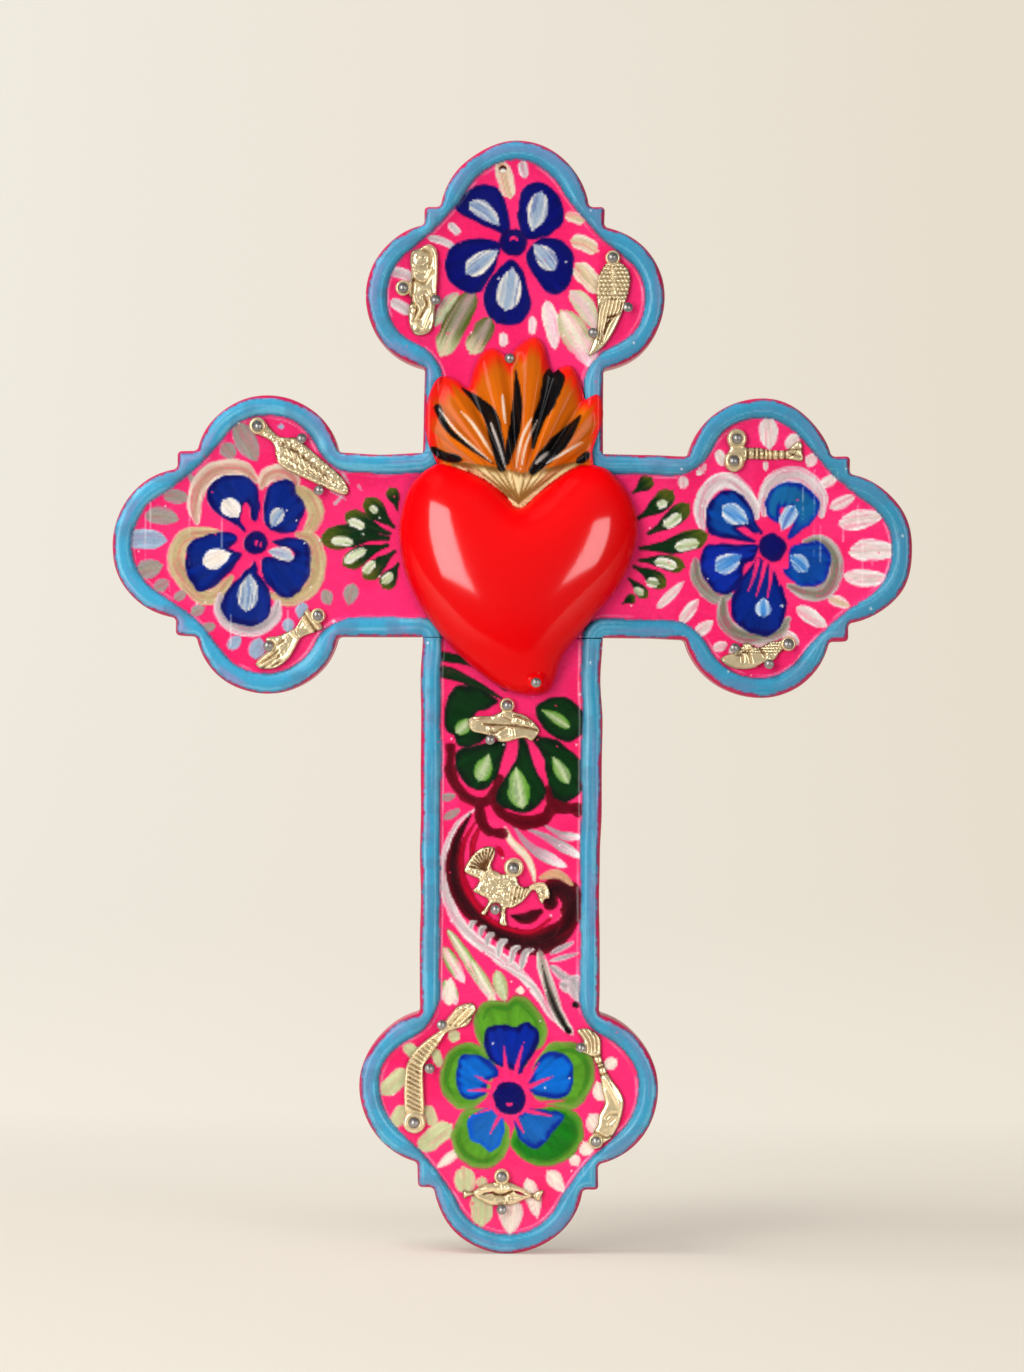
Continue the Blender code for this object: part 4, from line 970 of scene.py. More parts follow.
def paintFoot(canvas):
    sheet = sheetOf(canvas, **footSheet)
    strokes(sheet, "paleOlive pistachio", [
        (56, (284, 404), (322, 430), (350, 474)), (44, (418, 420), (436, 452), (450, 500)),
        (62, (492, 366), (536, 346)), (88, (184, 624), (240, 576), (300, 520)), (66, (232, 776), (286, 682)),
        (58, (386, 684), (402, 720), (416, 772)), (92, (350, 876), (420, 826), (496, 770)),
        (94, (562, 1080), (560, 1020), (554, 968)), (50, (640, 1010), (642, 1056)),
        (102, (638, 1228), (638, 1150), (642, 1072)),
    ], dry=0.2)
    strokes(sheet, "shell cream", [
        (70, (502, 92), (498, 150), (492, 212)), (40, (826, 126), (822, 160)), (46, (434, 966), (536, 884)),
        (112, (768, 1268), (772, 1190), (778, 1112)), (74, (896, 1192), (876, 1110), (852, 1016)),
        (72, (1018, 1072), (946, 980)), (56, (1082, 954), (1060, 904)), (72, (1112, 842), (1136, 900)),
        (100, (1140, 716), (1192, 792)), (78, (1174, 566), (1206, 648)), (62, (1206, 500), (1264, 462)),
    ], shape="egg", dry=0.2)
    strokes(sheet, "olive paleGreen", [(64, (716, 56), (732, 120), (752, 190))], shape="leaf", dry=0.3)
    strokes(sheet, "cream sand", [(26, (692, 168), (678, 232))], shape="leaf")
    eye = (770, 642)
    green = [
        [(640, 210), (700, 195), (760, 200), (800, 170), (850, 180), (900, 230), (940, 300), (945, 360),
         (920, 400), (880, 440), (840, 500), (720, 490), (650, 430), (615, 350), (610, 270)],
        [(560, 390), (620, 395), (660, 420), (702, 470), (690, 560), (660, 640), (600, 690), (540, 695),
         (480, 650), (450, 580), (460, 500), (490, 430)],
        [(960, 390), (1030, 380), (1090, 392), (1150, 450), (1165, 530), (1142, 602), (1110, 660),
         (1060, 690), (980, 676), (890, 644), (872, 540), (900, 460)],
        [(560, 700), (640, 690), (700, 706), (768, 780), (774, 850), (740, 920), (680, 965), (600, 960),
         (530, 910), (500, 830), (520, 760)],
    ]
    darkGreen = [
        [(790, 780), (850, 706), (950, 684), (1050, 692), (1100, 740), (1110, 820), (1060, 900), (990, 945),
         (930, 955), (850, 940), (792, 890), (772, 850)],
    ]
    petals(sheet, "sage grass", green, eye, thick=0.11)
    petals(sheet, "grass deepGrass", darkGreen, eye, thick=0.11)
    # streaks where the brush went round the outer half of each petal
    for outline in green + darkGreen:
        outline = np.array(outline, float)
        middle = outline.mean(0)
        reach = np.hypot(*(outline - eye).T)
        outline = np.roll(outline, -np.argmin(reach), axis=0)
        outer = outline[np.roll(reach, -np.argmin(reach)) > np.median(reach) * 0.9]
        for size, colours in ((0.95, "moss sage"), (0.86, "sage grass"), (0.76, "moss deepGrass")):
            path = middle + (outer - middle) * size
            strokes(sheet, colours, [(26, *path)], shape="band", dry=0.6, cover=0.5)
    flower = [
        ("navy cobalt", [(655, 370), (670, 316), (740, 302), (800, 312), (860, 292), (905, 340), (900, 410),
         (852, 480), (820, 528), (780, 512), (740, 496), (700, 480), (665, 430)]),
        ("cobalt azure", [(545, 450), (600, 440), (660, 455), (714, 500), (720, 540), (672, 566), (660, 620),
         (600, 650), (550, 630), (525, 560), (530, 490)]),
        ("cobalt azure", [(1000, 430), (1050, 460), (1065, 530), (1050, 610), (1010, 640), (940, 640),
         (866, 606), (872, 540), (900, 470), (950, 430)]),
        ("royal sky", [(580, 740), (650, 694), (690, 690), (738, 722), (744, 800), (720, 860), (680, 895),
         (640, 862), (590, 830)]),
        ("cobalt sky", [(792, 732), (840, 694), (930, 692), (1020, 720), (982, 780), (940, 840), (900, 872),
         (850, 860), (810, 820)]),
    ]
    for colours, outline in flower:
        petals(sheet, colours, [outline], eye)
    strokes(sheet, "pink pink", [
        (26, (758, 556), (752, 480), (744, 398)), (24, (792, 552), (812, 470), (838, 380)),
        (20, (704, 580), (660, 566), (606, 536)), (20, (690, 612), (640, 606), (578, 608)),
        (24, (860, 590), (910, 566), (970, 542)), (18, (852, 558), (880, 520), (908, 478)),
        (20, (868, 664), (940, 660), (1040, 648)), (20, (856, 700), (910, 712), (978, 726)),
        (20, (800, 736), (818, 770), (836, 806)), (20, (734, 716), (704, 760), (678, 812)),
        (16, (704, 680), (660, 700), (604, 716)), (20, (772, 740), (776, 780), (772, 826)),
        (15, (826, 560), (838, 520), (866, 462)),
    ], shape="taper", dry=0.1, thick=0.02)
    petals(sheet, "pink pink", [disc(eye, 96)], eye, thick=0.03)
    petals(sheet, "ink navy", [disc(eye, 76)], eye, thick=0.14)
    strokes(sheet, "pink pink", [(12, (754, 664), (768, 674), (786, 664))], dry=0.0, thick=0.02)


splashes = {"count": 70, "radius": (0.18, 0.5), "white": 0.6, "cover": 0.8, "height": 0.05}


def specks(canvas, flat, seed):
    # small splashes of white and pink thrown off the brush
    shake = np.random.default_rng(seed)
    for _ in range(splashes["count"]):
        index = shake.integers(0, len(flat))
        size = shake.uniform(*splashes["radius"])
        gap = np.hypot(*(flat - flat[index]).T)
        cover = 1 - ease(0.6 * size, size, gap)
        colour = brush["white"] if shake.random() < splashes["white"] else ground["pink"]
        tint(canvas["colour"], colour, splashes["cover"] * cover)
        canvas["relief"] += splashes["height"] * cover


def buildBoard(name, node, outline, upright):
    edge = handCut(outline)
    inner = gridInside(edge, board["fieldStep"], seed=3 if upright else 4)
    holes = []
    if upright:
        # the crossbar covers the upright's middle, so few points lie there, with rows of them at its seams
        hidden = np.abs(inner[:, 0]) < board["uprightHalf"] - 1.5
        hidden &= np.abs(inner[:, 1]) < board["crossbarHalf"] - 1.5
        inner = inner[~hidden | (np.random.default_rng(5).random(len(inner)) < 0.01)]
        xs = np.arange(-board["uprightHalf"] + 0.5, board["uprightHalf"] - 0.3, 0.4)
        for level in (board["crossbarHalf"], board["crossbarHalf"] - board["seam"]):
            rows = [np.column_stack([xs, np.full(len(xs), sign * level)]) for sign in (-1, 1)]
            inner = np.vstack([inner, *rows])
        x, z, radius = board["hole"]
        holes = [arcPoints((x, z), radius, 0, 2 * math.pi, 0.3)[:-1]]
        inner = inner[np.hypot(*(inner - (x, z)).T) > radius + 0.2]
    flat, faces = triangulate([edge, *holes], inner)
    height, share, fromCut, fromField = boardHeight(flat)
    canvas = newCanvas(flat, upright)
    groundCoat(canvas, flat, share, fromCut, fromField)
    if upright:
        paintTop(canvas)
        paintShaft(canvas)
        paintFoot(canvas)
    else:
        paintLeft(canvas)
        paintRight(canvas)
    specks(canvas, flat, 6 if upright else 7)
    depth = fieldDepth + height + canvas["relief"]
    if upright:
        lapped = np.abs(flat[:, 1]) < board["crossbarHalf"] - 0.5 * board["seam"]
        depth[lapped] = board["lap"]
    back, sides = (0.0, [board["edgeBreak"]]) if upright else (board["lap"], [])
    piece = reliefPiece(name, flat, faces, depth, back, sides)
    setAttribute(piece, "paint", canvas["colour"])
    piece.data.materials.append(paintedWood)
    piece.data.materials.append(bareUpright if upright else bareCrossbar)
    if not upright:
        joinRearHalves(piece, edge)
    print(name, len(piece.data.polygons), "faces")
    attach(piece, "root")
    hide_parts(node)
    return piece


def joinRearHalves(piece, edge):
    # behind the lap the crossbar is two ends, with the upright between them
    bpy.ops.object.select_all(action="DESELECT")
    for sign in (-1, 1):
        part = edge[sign * edge[:, 0] > board["uprightHalf"] + board["seam"]]
        if sign > 0:
            part = np.roll(part, -np.argmax(np.diff(np.arctan2(part[:, 1], part[:, 0]))) - 1, axis=0)
        line = evenly(part, 1.0)
        flat, faces = triangulate([line], np.zeros((0, 2)))
        front = np.full(len(flat), board["lap"])
        rear = reliefPiece("rearHalf", flat, faces, front, 0.0, [board["edgeBreak"]])
        setAttribute(rear, "paint", np.tile(ground["crimson"], (len(flat), 1)))
        rear.data.materials.append(paintedWood)
        rear.data.materials.append(bareCrossbar)
        rear.select_set(True)
    piece.select_set(True)
    bpy.context.view_layer.objects.active = piece
    bpy.ops.object.join()


# Materials
def newMaterial(name, **values):
    made = bpy.data.materials.new(name)
    made.use_nodes = True
    shader = made.node_tree.nodes["Principled BSDF"]
    for key, value in values.items():
        shader.inputs[key].default_value = value
    return made, made.node_tree.nodes, made.node_tree.links, shader


def node(nodes, kind, **values):
    made = nodes.new("ShaderNode" + kind)
    for key, value in values.items():
        if key in made.inputs:
            made.inputs[key].default_value = value
        else:
            setattr(made, key, value)
    return made


def pattern(nodes, links, place, **values):
    made = node(nodes, "TexNoise", **values)
    links.new(place, made.inputs["Vector"])
    return made.outputs["Fac"]


def remap(nodes, links, source, span, values):
    # stretches one span of values to another
    made = node(nodes, "MapRange")
    for key, value in zip(("From Min", "From Max", "To Min", "To Max"), (*span, *values)):
        made.inputs[key].default_value = value
    links.new(source, made.inputs["Value"])
    return made.outputs["Result"]


def addShare(nodes, links, source, share, other):
    # a share of one pattern on top of another
    made = node(nodes, "Math", operation="MULTIPLY_ADD")
    made.inputs[1].default_value = share
    links.new(source, made.inputs[0])
    links.new(other, made.inputs[2])
    return made.outputs["Value"]


def ramp(nodes, links, source, *stops):
    # colours for a pattern: each stop is (place, colour)
    made = node(nodes, "ValToRGB")
    for element, (place, colour) in zip(made.color_ramp.elements, stops):
        element.position = place
        element.color = (*colour, 1)
    links.new(source, made.inputs["Fac"])
    return made.outputs["Color"]


def roughen(nodes, links, source, shader, strength, depth, sockets=("Normal",)):
    made = node(nodes, "Bump", Strength=strength, Distance=depth)
    links.new(source, made.inputs["Height"])
    for socket in sockets:
        links.new(made.outputs["Normal"], shader.inputs[socket])


def makePaintedWood():
    made, nodes, links, shader = newMaterial(
        "paintedWood", **{"Coat Weight": 0.2, "Coat Roughness": 0.07, "Specular IOR Level": 0.17}
    )
    paint = node(nodes, "Attribute", attribute_name="paint")
    place = node(nodes, "TexCoord").outputs["Object"]
    mottle = pattern(nodes, links, place, Scale=900.0, Detail=3.0)
    mix = node(nodes, "Mix", data_type="RGBA", blend_type="MULTIPLY")
    mix.inputs["Factor"].default_value = 1.0
    links.new(paint.outputs["Color"], mix.inputs[6])
    links.new(remap(nodes, links, mottle, (0.3, 0.7), (0.94, 1.05)), mix.inputs[7])
    links.new(mix.outputs[2], shader.inputs["Base Color"])
    broad = pattern(nodes, links, place, Scale=160.0, Detail=4.0)
    links.new(remap(nodes, links, broad, (0.3, 0.7), (0.22, 0.34)), shader.inputs["Roughness"])
    roughen(nodes, links, broad, shader, 0.25, 0.0002)
    return made


def makeBareWood(name, stretch):
    # the grain runs along the board: stretch is the pattern's scale along x, y and z
    made, nodes, links, shader = newMaterial(name, Roughness=0.72)
    turn = node(nodes, "Mapping", Scale=stretch)
    links.new(node(nodes, "TexCoord").outputs["Object"], turn.inputs["Vector"])
    place = turn.outputs["Vector"]
    grain = pattern(nodes, links, place, Scale=420.0, Detail=6.0, Roughness=0.6, Distortion=0.6)
    tones = ramp(nodes, links, grain, (0.3, (0.30, 0.17, 0.09)), (0.72, (0.58, 0.40, 0.24)))
    links.new(tones, shader.inputs["Base Color"])
    roughen(nodes, links, grain, shader, 0.3, 0.0003)
    return made


paintedWood = makePaintedWood()
bareUpright = makeBareWood("bareUpright", (1.0, 1.0, 0.06))
bareCrossbar = makeBareWood("bareCrossbar", (0.06, 1.0, 1.0))
buildBoard("uprightPainted", "upright_board", uprightOutline(), True)
buildBoard("crossbarPainted", "crossbar_board", crossbarOutline(), False)

# The tin heart with its flames
heart = {
    "middle": (1.6, 0.3),  # mm from the crossing
    "height": 12.6,
    "wall": 0.7,
    "seat": fieldDepth + 0.3,
    "step": 0.36,
    "fold": (-0.2, 11.4),  # where the folds of the flames meet
    "flameHeight": 3.4,
    "foldHeight": 1.9,
    "outline": [
        (18.5, 20.3), (14.1, 20), (8.9, 16.8), (4.4, 13), (0, 9.4), (-3.9, 13), (-9, 16.8), (-15.5, 19.4),
        (-20.9, 20.3), (-25.1, 17.5), (-28.3, 13), (-30.2, 5.3), (-30, -0.6), (-28.6, -7.4), (-25, -15.2),
        (-20.5, -21.5), (-15.6, -27.2), (-9.1, -32.8), (-4, -36), (1.2, -37.7), (4.6, -37.9), (7, -37.2),
        (8.4, -35.9), (9.4, -33.4), (10.5, -29.8), (12.2, -26.4), (15.6, -22.2), (20.5, -16.2),
        (24.9, -10.6), (27.8, -4.8), (29.7, 2.1), (29.5, 7.8), (27.9, 12.3), (25.3, 16.2), (22.1, 19.1),
    ],
    "flames": [
        (18.2, 23.7, 0), (19.8, 28.4, 0.6), (20.9, 32.2, 0.9), (20.6, 36.1, 1), (19.5, 37.9, 0.8),
        (17.9, 37.5, 0.4), (16.4, 36.7, 0), (15.9, 38.3, 0.4), (14.7, 42.5, 0.9), (12.8, 45.2, 1),
        (10.2, 44.9, 0.5), (8.2, 43.5, 0), (7, 46.3, 0.4), (6, 50.2, 0.9), (4.1, 52.3, 1), (1.9, 52, 0.9),
        (-1.3, 49.5, 0.4), (-2.8, 46.9, 0), (-6.5, 49.5, 0.9), (-9.7, 48.3, 1), (-11.9, 43.8, 0.5),
        (-13.2, 39.6, 0), (-16.1, 41.5, 0.6), (-19.3, 42.4, 1), (-21.6, 40.6, 1), (-23.3, 36.1, 0.5),
        (-23.9, 30.9, 0.8), (-23.2, 25.8, 0.6), (-21.9, 22.6, 0),
    ],
    "red": tone(240, 0, 6),
    "deepRed": tone(206, 0, 14),
    "orange": tone(214, 101, 10),
    "tip": tone(242, 30, 16),
    "edgeRed": tone(226, 30, 60),
    "gold": tone(240, 214, 158),
    "goldShade": tone(142, 98, 44),
    "innerTin": tone(150, 140, 132),
}


def domeOver(outline, step=0.5, rounds=2600):
    # the height of a skin blown up inside an outline, as a grid to read from
    low = outline.min(0) - 2 * step
    size = np.ceil((outline.max(0) + 2 * step - low) / step).astype(int) + 1
    grid = np.array(np.meshgrid(np.arange(size[0]), np.arange(size[1]))).reshape(2, -1).T * step + low
    mask = insideOf(grid, outline).reshape(size[1], size[0])
    skin = np.zeros(mask.shape)
    for _ in range(rounds):
        around = skin[:-2, 1:-1] + skin[2:, 1:-1] + skin[1:-1, :-2] + skin[1:-1, 2:]
        skin[1:-1, 1:-1] = 0.25 * (around + step**2)
        skin *= mask
    skin = np.sqrt(skin / skin.max())

    def heightAt(points):
        at = (points - low) / step
        cell = np.clip(np.floor(at).astype(int), 0, size - 2)
        part = at - cell
        x, y = cell.T
        lower = skin[y, x] * (1 - part[:, 0]) + skin[y, x + 1] * part[:, 0]
        upper = skin[y + 1, x] * (1 - part[:, 0]) + skin[y + 1, x + 1] * part[:, 0]
        return lower * (1 - part[:, 1]) + upper * part[:, 1]

    return heightAt


def nailSpot(name):
    low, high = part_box(name)
    return np.array([(low[0] + high[0]) / 2, (low[2] + high[2]) / 2]) / mm


def buildHeart():
    body = smoothLine(heart["outline"], closed=True, steps=6)
    # the edge runs over the flames and then round the heart below them
    flames = np.array(heart["flames"])
    crown = smoothLine(flames[:, :2], steps=6)
    sides = smoothLine(heart["outline"][8:] + heart["outline"][:1], steps=6)
    edge = evenly(np.vstack([crown, sides]), 0.45)
    inner = gridInside(edge, heart["step"], seed=8)
    # a row of points where the flames spring from the heart
    spring = evenly(body, 0.3)
    spring = spring[insideOf(spring, edge) & (distanceTo(spring, edge) > 0.3)]
    flat, faces = triangulate([edge], np.vstack([inner[distanceTo(inner, body) > 0.22], spring]))
    fromEdge = distanceTo(flat, edge)
    fromBody = distanceTo(flat, body)
    inBody = insideOf(flat, body) & ((fromBody > 0.1) | (fromEdge < 0.3))
    fromBody = fromBody * np.where(inBody, 1, -1)
    dome = heart["height"] * domeOver(body)(flat)
    dome = np.where(inBody, dome, 0.0)
    away = flat - heart["fold"]
    angle = np.arctan2(away[:, 1], away[:, 0])
    fold = flames[:, :2] - heart["fold"]
    foldAngle = np.arctan2(fold[:, 1], fold[:, 0])
    order = np.argsort(foldAngle)
    ridge = ease(0, 1, np.interp(angle, foldAngle[order], flames[order, 2]))
    reach = np.interp(angle, foldAngle[order], np.hypot(*fold.T)[order])
    share = np.clip(np.hypot(*away.T) / np.maximum(reach, 1), 0, 1)
    rise = heart["foldHeight"] * ridge * (1 - share**5) * ease(0.1, 0.45, share)
    flame = heart["flameHeight"] * (1 - share) ** 0.8 + rise + 0.8 * ease(0.0, 1.2, fromEdge)
    height = np.where(inBody, np.maximum(dome, 0.9 * ease(0, 1.0, fromEdge)), flame)
    crease = np.exp(-((fromBody + 0.25) / 0.35) ** 2)
    height = height - 0.5 * crease * (flat[:, 1] > 9)
    spot = flat + heart["middle"]
    canvas = newCanvas(spot, False)
    paintHeart(canvas, flat, inBody, fromBody, fromEdge, share, ridge)
    # the sheet lies on the rim where it crosses it
    over = boardHeight(spot)[0] + 0.1
    front = heart["seat"] + heart["wall"] + np.maximum(height + canvas["relief"] * 0.6, over)
    for name in ("heart_nail_1", "heart_nail_2"):
        seat = -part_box(name)[0][1] / mm - nail["headHeight"]
        near = 1 - ease(1.3, 3.4, np.hypot(*(spot - nailSpot(name)).T))
        front = front + (seat - 0.02 - front) * near
    piece = reliefPiece("heartShell", spot, faces, front, front - heart["wall"])
    full = np.vstack([canvas["colour"], np.tile(heart["innerTin"], (len(flat), 1))])
    setAttribute(piece, "paint", full)
    # the varnish is thick on the belly of the heart, thin on the flames and worn at the edge and the tip
    belly = ease(2.0, 7.5, fromBody) * ease(-28.0, -12.0, flat[:, 1])
    setAttribute(piece, "varnish", np.where(inBody, 0.1 + 0.9 * belly, 0.14))
    piece.data.materials.append(paintedTin)
    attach(piece, "root")
    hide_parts("heart_shell")
    print("heart", len(piece.data.polygons), "faces")


def paintHeart(canvas, flat, inBody, fromBody, fromEdge, share, ridge):
    x, z = flat[:, 0], flat[:, 1]
    red = heart["red"] * np.ones((len(flat), 1))
    tint(red, heart["deepRed"], 0.5 * (1 - ease(0.0, 1.6, fromBody)))
    turn = np.arctan2(z - heart["fold"][1], x - heart["fold"][0])
    hair = noise(turn * 30 + 60, share * 3, 71)
    flame = heart["orange"] * (0.86 + 0.22 * hair)[:, None]
    tint(flame, heart["tip"], ease(0.86, 0.985, share + 0.1 * (hair - 0.5) + 0.03 * ridge))
    canvas["colour"][:] = np.where(inBody[:, None], red, flame)
    tint(canvas["colour"], heart["edgeRed"], 0.8 * (1 - ease(0.35, 0.9, fromEdge)))
    upper = {**canvas, "open": np.where(inBody, 0.0, 1.0)}
    sheet = sheetOf(upper, (0, 0), 1.0, photo["size"])
    gold = [
        (449, 465), (464, 464), (490, 467), (502, 470), (517, 473), (531, 472), (545, 469), (579, 462),
        (560, 486), (540, 500), (517, 514), (495, 500), (472, 484),
    ]
    # the gold collar darkens to a painted shade at its edge
    shade = heart["goldShade"]
    patch(sheet, gold, (shade, heart["gold"]), (517, 500), ragged=1.0)
    folds = [
        (458, 466), (470, 466), (481, 467), (491, 468), (500, 470), (509, 472), (524, 473), (533, 472),
        (543, 470), (553, 468), (565, 465),
    ]
    # dark lines of painted shade down the flutes, sunk a little into the tin
    for end in folds:
        dab(sheet, [(517, 503), end], 3.2, (shade, shade), shape="taper", dry=0.2, thick=-0.12)
    black = brush["black"]
    lines = [
        (7, "taper", (435, 409), (446, 430), (467, 448), (492, 465)),
        (14, "swell", (460, 389), (477, 404), (490, 422), (500, 469)),
        (11, "swell", (513, 371), (515, 397), (513, 427), (505, 463)),
        (21, "taper", (551, 379), (546, 399), (536, 422), (531, 448)),
        (16, "swell", (578, 416), (564, 435), (546, 455), (531, 471)),
        (9, "dab", (429, 449), (442, 457), (460, 461)), (8, "dab", (588, 453), (575, 463)),
    ]
    for width, shape, *path in lines:
        dab(sheet, path, width, (black, black), shape=shape, dry=0.1, thick=0.08)
    # pale streaks along the folds of the flames: painted highlights
    pale = [
        (2.5, (436, 409), (457, 435), (492, 465)), (3.5, (459, 413), (472, 427), (492, 458)),
        (3, (488, 422), (499, 453), (504, 470)), (3, (530, 418), (519, 442), (514, 470)),
        (2.5, (535, 421), (524, 446), (519, 471)), (4, (546, 453), (533, 465)), (3, (581, 442), (543, 465)),
        (3, (500, 395), (503, 425)),
    ]
    for width, *path in pale:
        dab(sheet, path, width, (brush["cream"], brush["white"]), shape="leaf", dry=0.3, cover=0.85)


# Nails: one is modelled and copied to each place
nail = {
    "headRadius": 1.25,
    "headHeight": 0.8,
    "rimHeight": 0.3,
    "rings": ((0.28, 0.22), (0.34, 0.16), (0.36, 0.1)),  # how much the head narrows, and its rise in mm
    "edgeRound": 0.09,
    "shankRadius": 0.6,
    "length": 6.0,
    "sides": 20,
    "tilt": 0.16,  # how far a head may lean
}


def modelNail():
    bpy.ops.object.select_all(action="DESELECT")
    bpy.ops.mesh.primitive_cylinder_add(
        vertices=nail["sides"],
        radius=nail["headRadius"] * mm,
        depth=nail["rimHeight"] * mm,
        location=(0, -nail["rimHeight"] / 2 * mm, 0),
        rotation=(math.pi / 2, 0, 0),
    )
    made = bpy.context.object
    made.name = "nailModel"
    bpy.ops.object.transform_apply(location=True, rotation=True, scale=True)
    bpy.ops.object.mode_set(mode="EDIT")

    def pick(end):
        # selects the flat face furthest forward (min) or furthest back (max)
        bpy.ops.mesh.select_all(action="DESELECT")
        bpy.ops.object.mode_set(mode="OBJECT")
        level = end(v.co.y for v in made.data.vertices)
        for face in made.data.polygons:
            face.select = abs(face.center.y - level) < 1e-6 and abs(face.normal.y) > 0.9
        bpy.ops.object.mode_set(mode="EDIT")
        bpy.ops.mesh.select_mode(type="FACE")

    for narrowing, rise in nail["rings"]:
        pick(min)
        bpy.ops.mesh.extrude_region_move(TRANSFORM_OT_translate={"value": (0, -rise * mm, 0)})
        bpy.ops.transform.resize(value=(1 - narrowing, 1, 1 - narrowing), center_override=(0, 0, 0))
    pick(max)
    bpy.ops.mesh.inset(thickness=(nail["headRadius"] - nail["shankRadius"]) * mm)
    bpy.ops.mesh.extrude_region_move(TRANSFORM_OT_translate={"value": (0, nail["length"] * mm, 0)})
    bpy.ops.object.mode_set(mode="OBJECT")
    bevel = made.modifiers.new("edge", "BEVEL")
    bevel.width = nail["edgeRound"] * mm
    bevel.segments = 2
    bevel.limit_method = "ANGLE"
    bpy.ops.object.modifier_apply(modifier="edge")
    bpy.ops.object.shade_smooth_by_angle(angle=math.radians(40))
    return made


def placeNails():
    model = modelNail()
    shake = np.random.default_rng(12)
    for name in sorted(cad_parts):
        if "_nail_" not in name:
            continue
        low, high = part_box(name)
        copy = model.copy()
        copy.data = model.data.copy()
        copy.name = name.replace("_nail_", "Nail").title().replace("_", "")
        bpy.context.scene.collection.objects.link(copy)
        tilt = shake.uniform(-nail["tilt"], nail["tilt"], 2)
        turn = shake.uniform(0, 6.28)
        x, y, z = np.array([v.co for v in copy.data.vertices]).T
        across = x * math.cos(turn) - z * math.sin(turn)
        upward = x * math.sin(turn) + z * math.cos(turn)
        points = np.column_stack([across, y, upward])
        head = points[:, 1] < 0.5 * mm
        points[head, 1] += points[head, 0] * tilt[0] + points[head, 2] * tilt[1]
        points += ((low[0] + high[0]) / 2, low[1] + nail["headHeight"] * mm, (low[2] + high[2]) / 2)
        copy.data.vertices.foreach_set("co", points.ravel())
        copy.data.update()
        copy.data.materials.append(nailSteel)
        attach(copy, "root")
        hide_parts(name)
    bpy.data.objects.remove(model)
    print("nails placed")


def makePaintedTin():
    made, nodes, links, shader = newMaterial(
        "paintedTin", **{"Coat IOR": 1.62, "Coat Roughness": 0.11, "Specular IOR Level": 0.05}
    )
    paint = node(nodes, "Attribute", attribute_name="paint")
    links.new(paint.outputs["Color"], shader.inputs["Base Color"])
    varnish = node(nodes, "Attribute", attribute_name="varnish")
    links.new(varnish.outputs["Fac"], shader.inputs["Coat Weight"])
    place = node(nodes, "TexCoord").outputs["Object"]
    broad = pattern(nodes, links, place, Scale=70.0, Detail=3.0)
    links.new(remap(nodes, links, broad, (0.3, 0.7), (0.18, 0.32)), shader.inputs["Roughness"])
    dents = pattern(nodes, links, place, Scale=38.0, Detail=1.0)
    # the brush ran down the heart
    down = node(nodes, "Mapping", Scale=(1.0, 1.0, 0.12))
    links.new(place, down.inputs["Vector"])
    hairs = pattern(nodes, links, down.outputs["Vector"], Scale=300.0, Detail=2.0)
    skin = addShare(nodes, links, hairs, 0.05, dents)
    roughen(nodes, links, skin, shader, 0.35, 0.0012, ("Normal", "Coat Normal"))
    return made


def makeMetal(name, bright, dull, low, high, metallic):
    # bright where it is clean, and dull where grime and patina lie and where shade is painted on: low and
    # high are its roughness there
    made, nodes, links, shader = newMaterial(name, Metallic=metallic)
    cloud = pattern(nodes, links, node(nodes, "TexCoord").outputs["Object"], Scale=700.0, Detail=4.0)
    soil = node(nodes, "Attribute", attribute_name="soil")
    dirtAndShade = addShare(nodes, links, cloud, 0.5, soil.outputs["Fac"])
    links.new(ramp(nodes, links, dirtAndShade, (0.2, bright), (0.95, dull)), shader.inputs["Base Color"])
    links.new(remap(nodes, links, dirtAndShade, (0.2, 0.9), (low, high)), shader.inputs["Roughness"])
    roughen(nodes, links, cloud, shader, 0.3, 0.00012)
    return made


paintedTin = makePaintedTin()
goldCast = makeMetal("goldCast", (1.0, 0.82, 0.5), (0.17, 0.066, 0.017), 0.2, 0.38, 0.58)
nailSteel = makeMetal("nailSteel", (0.4, 0.38, 0.36), (0.1, 0.09, 0.085), 0.36, 0.52, 0.9)
buildHeart()
placeNails()

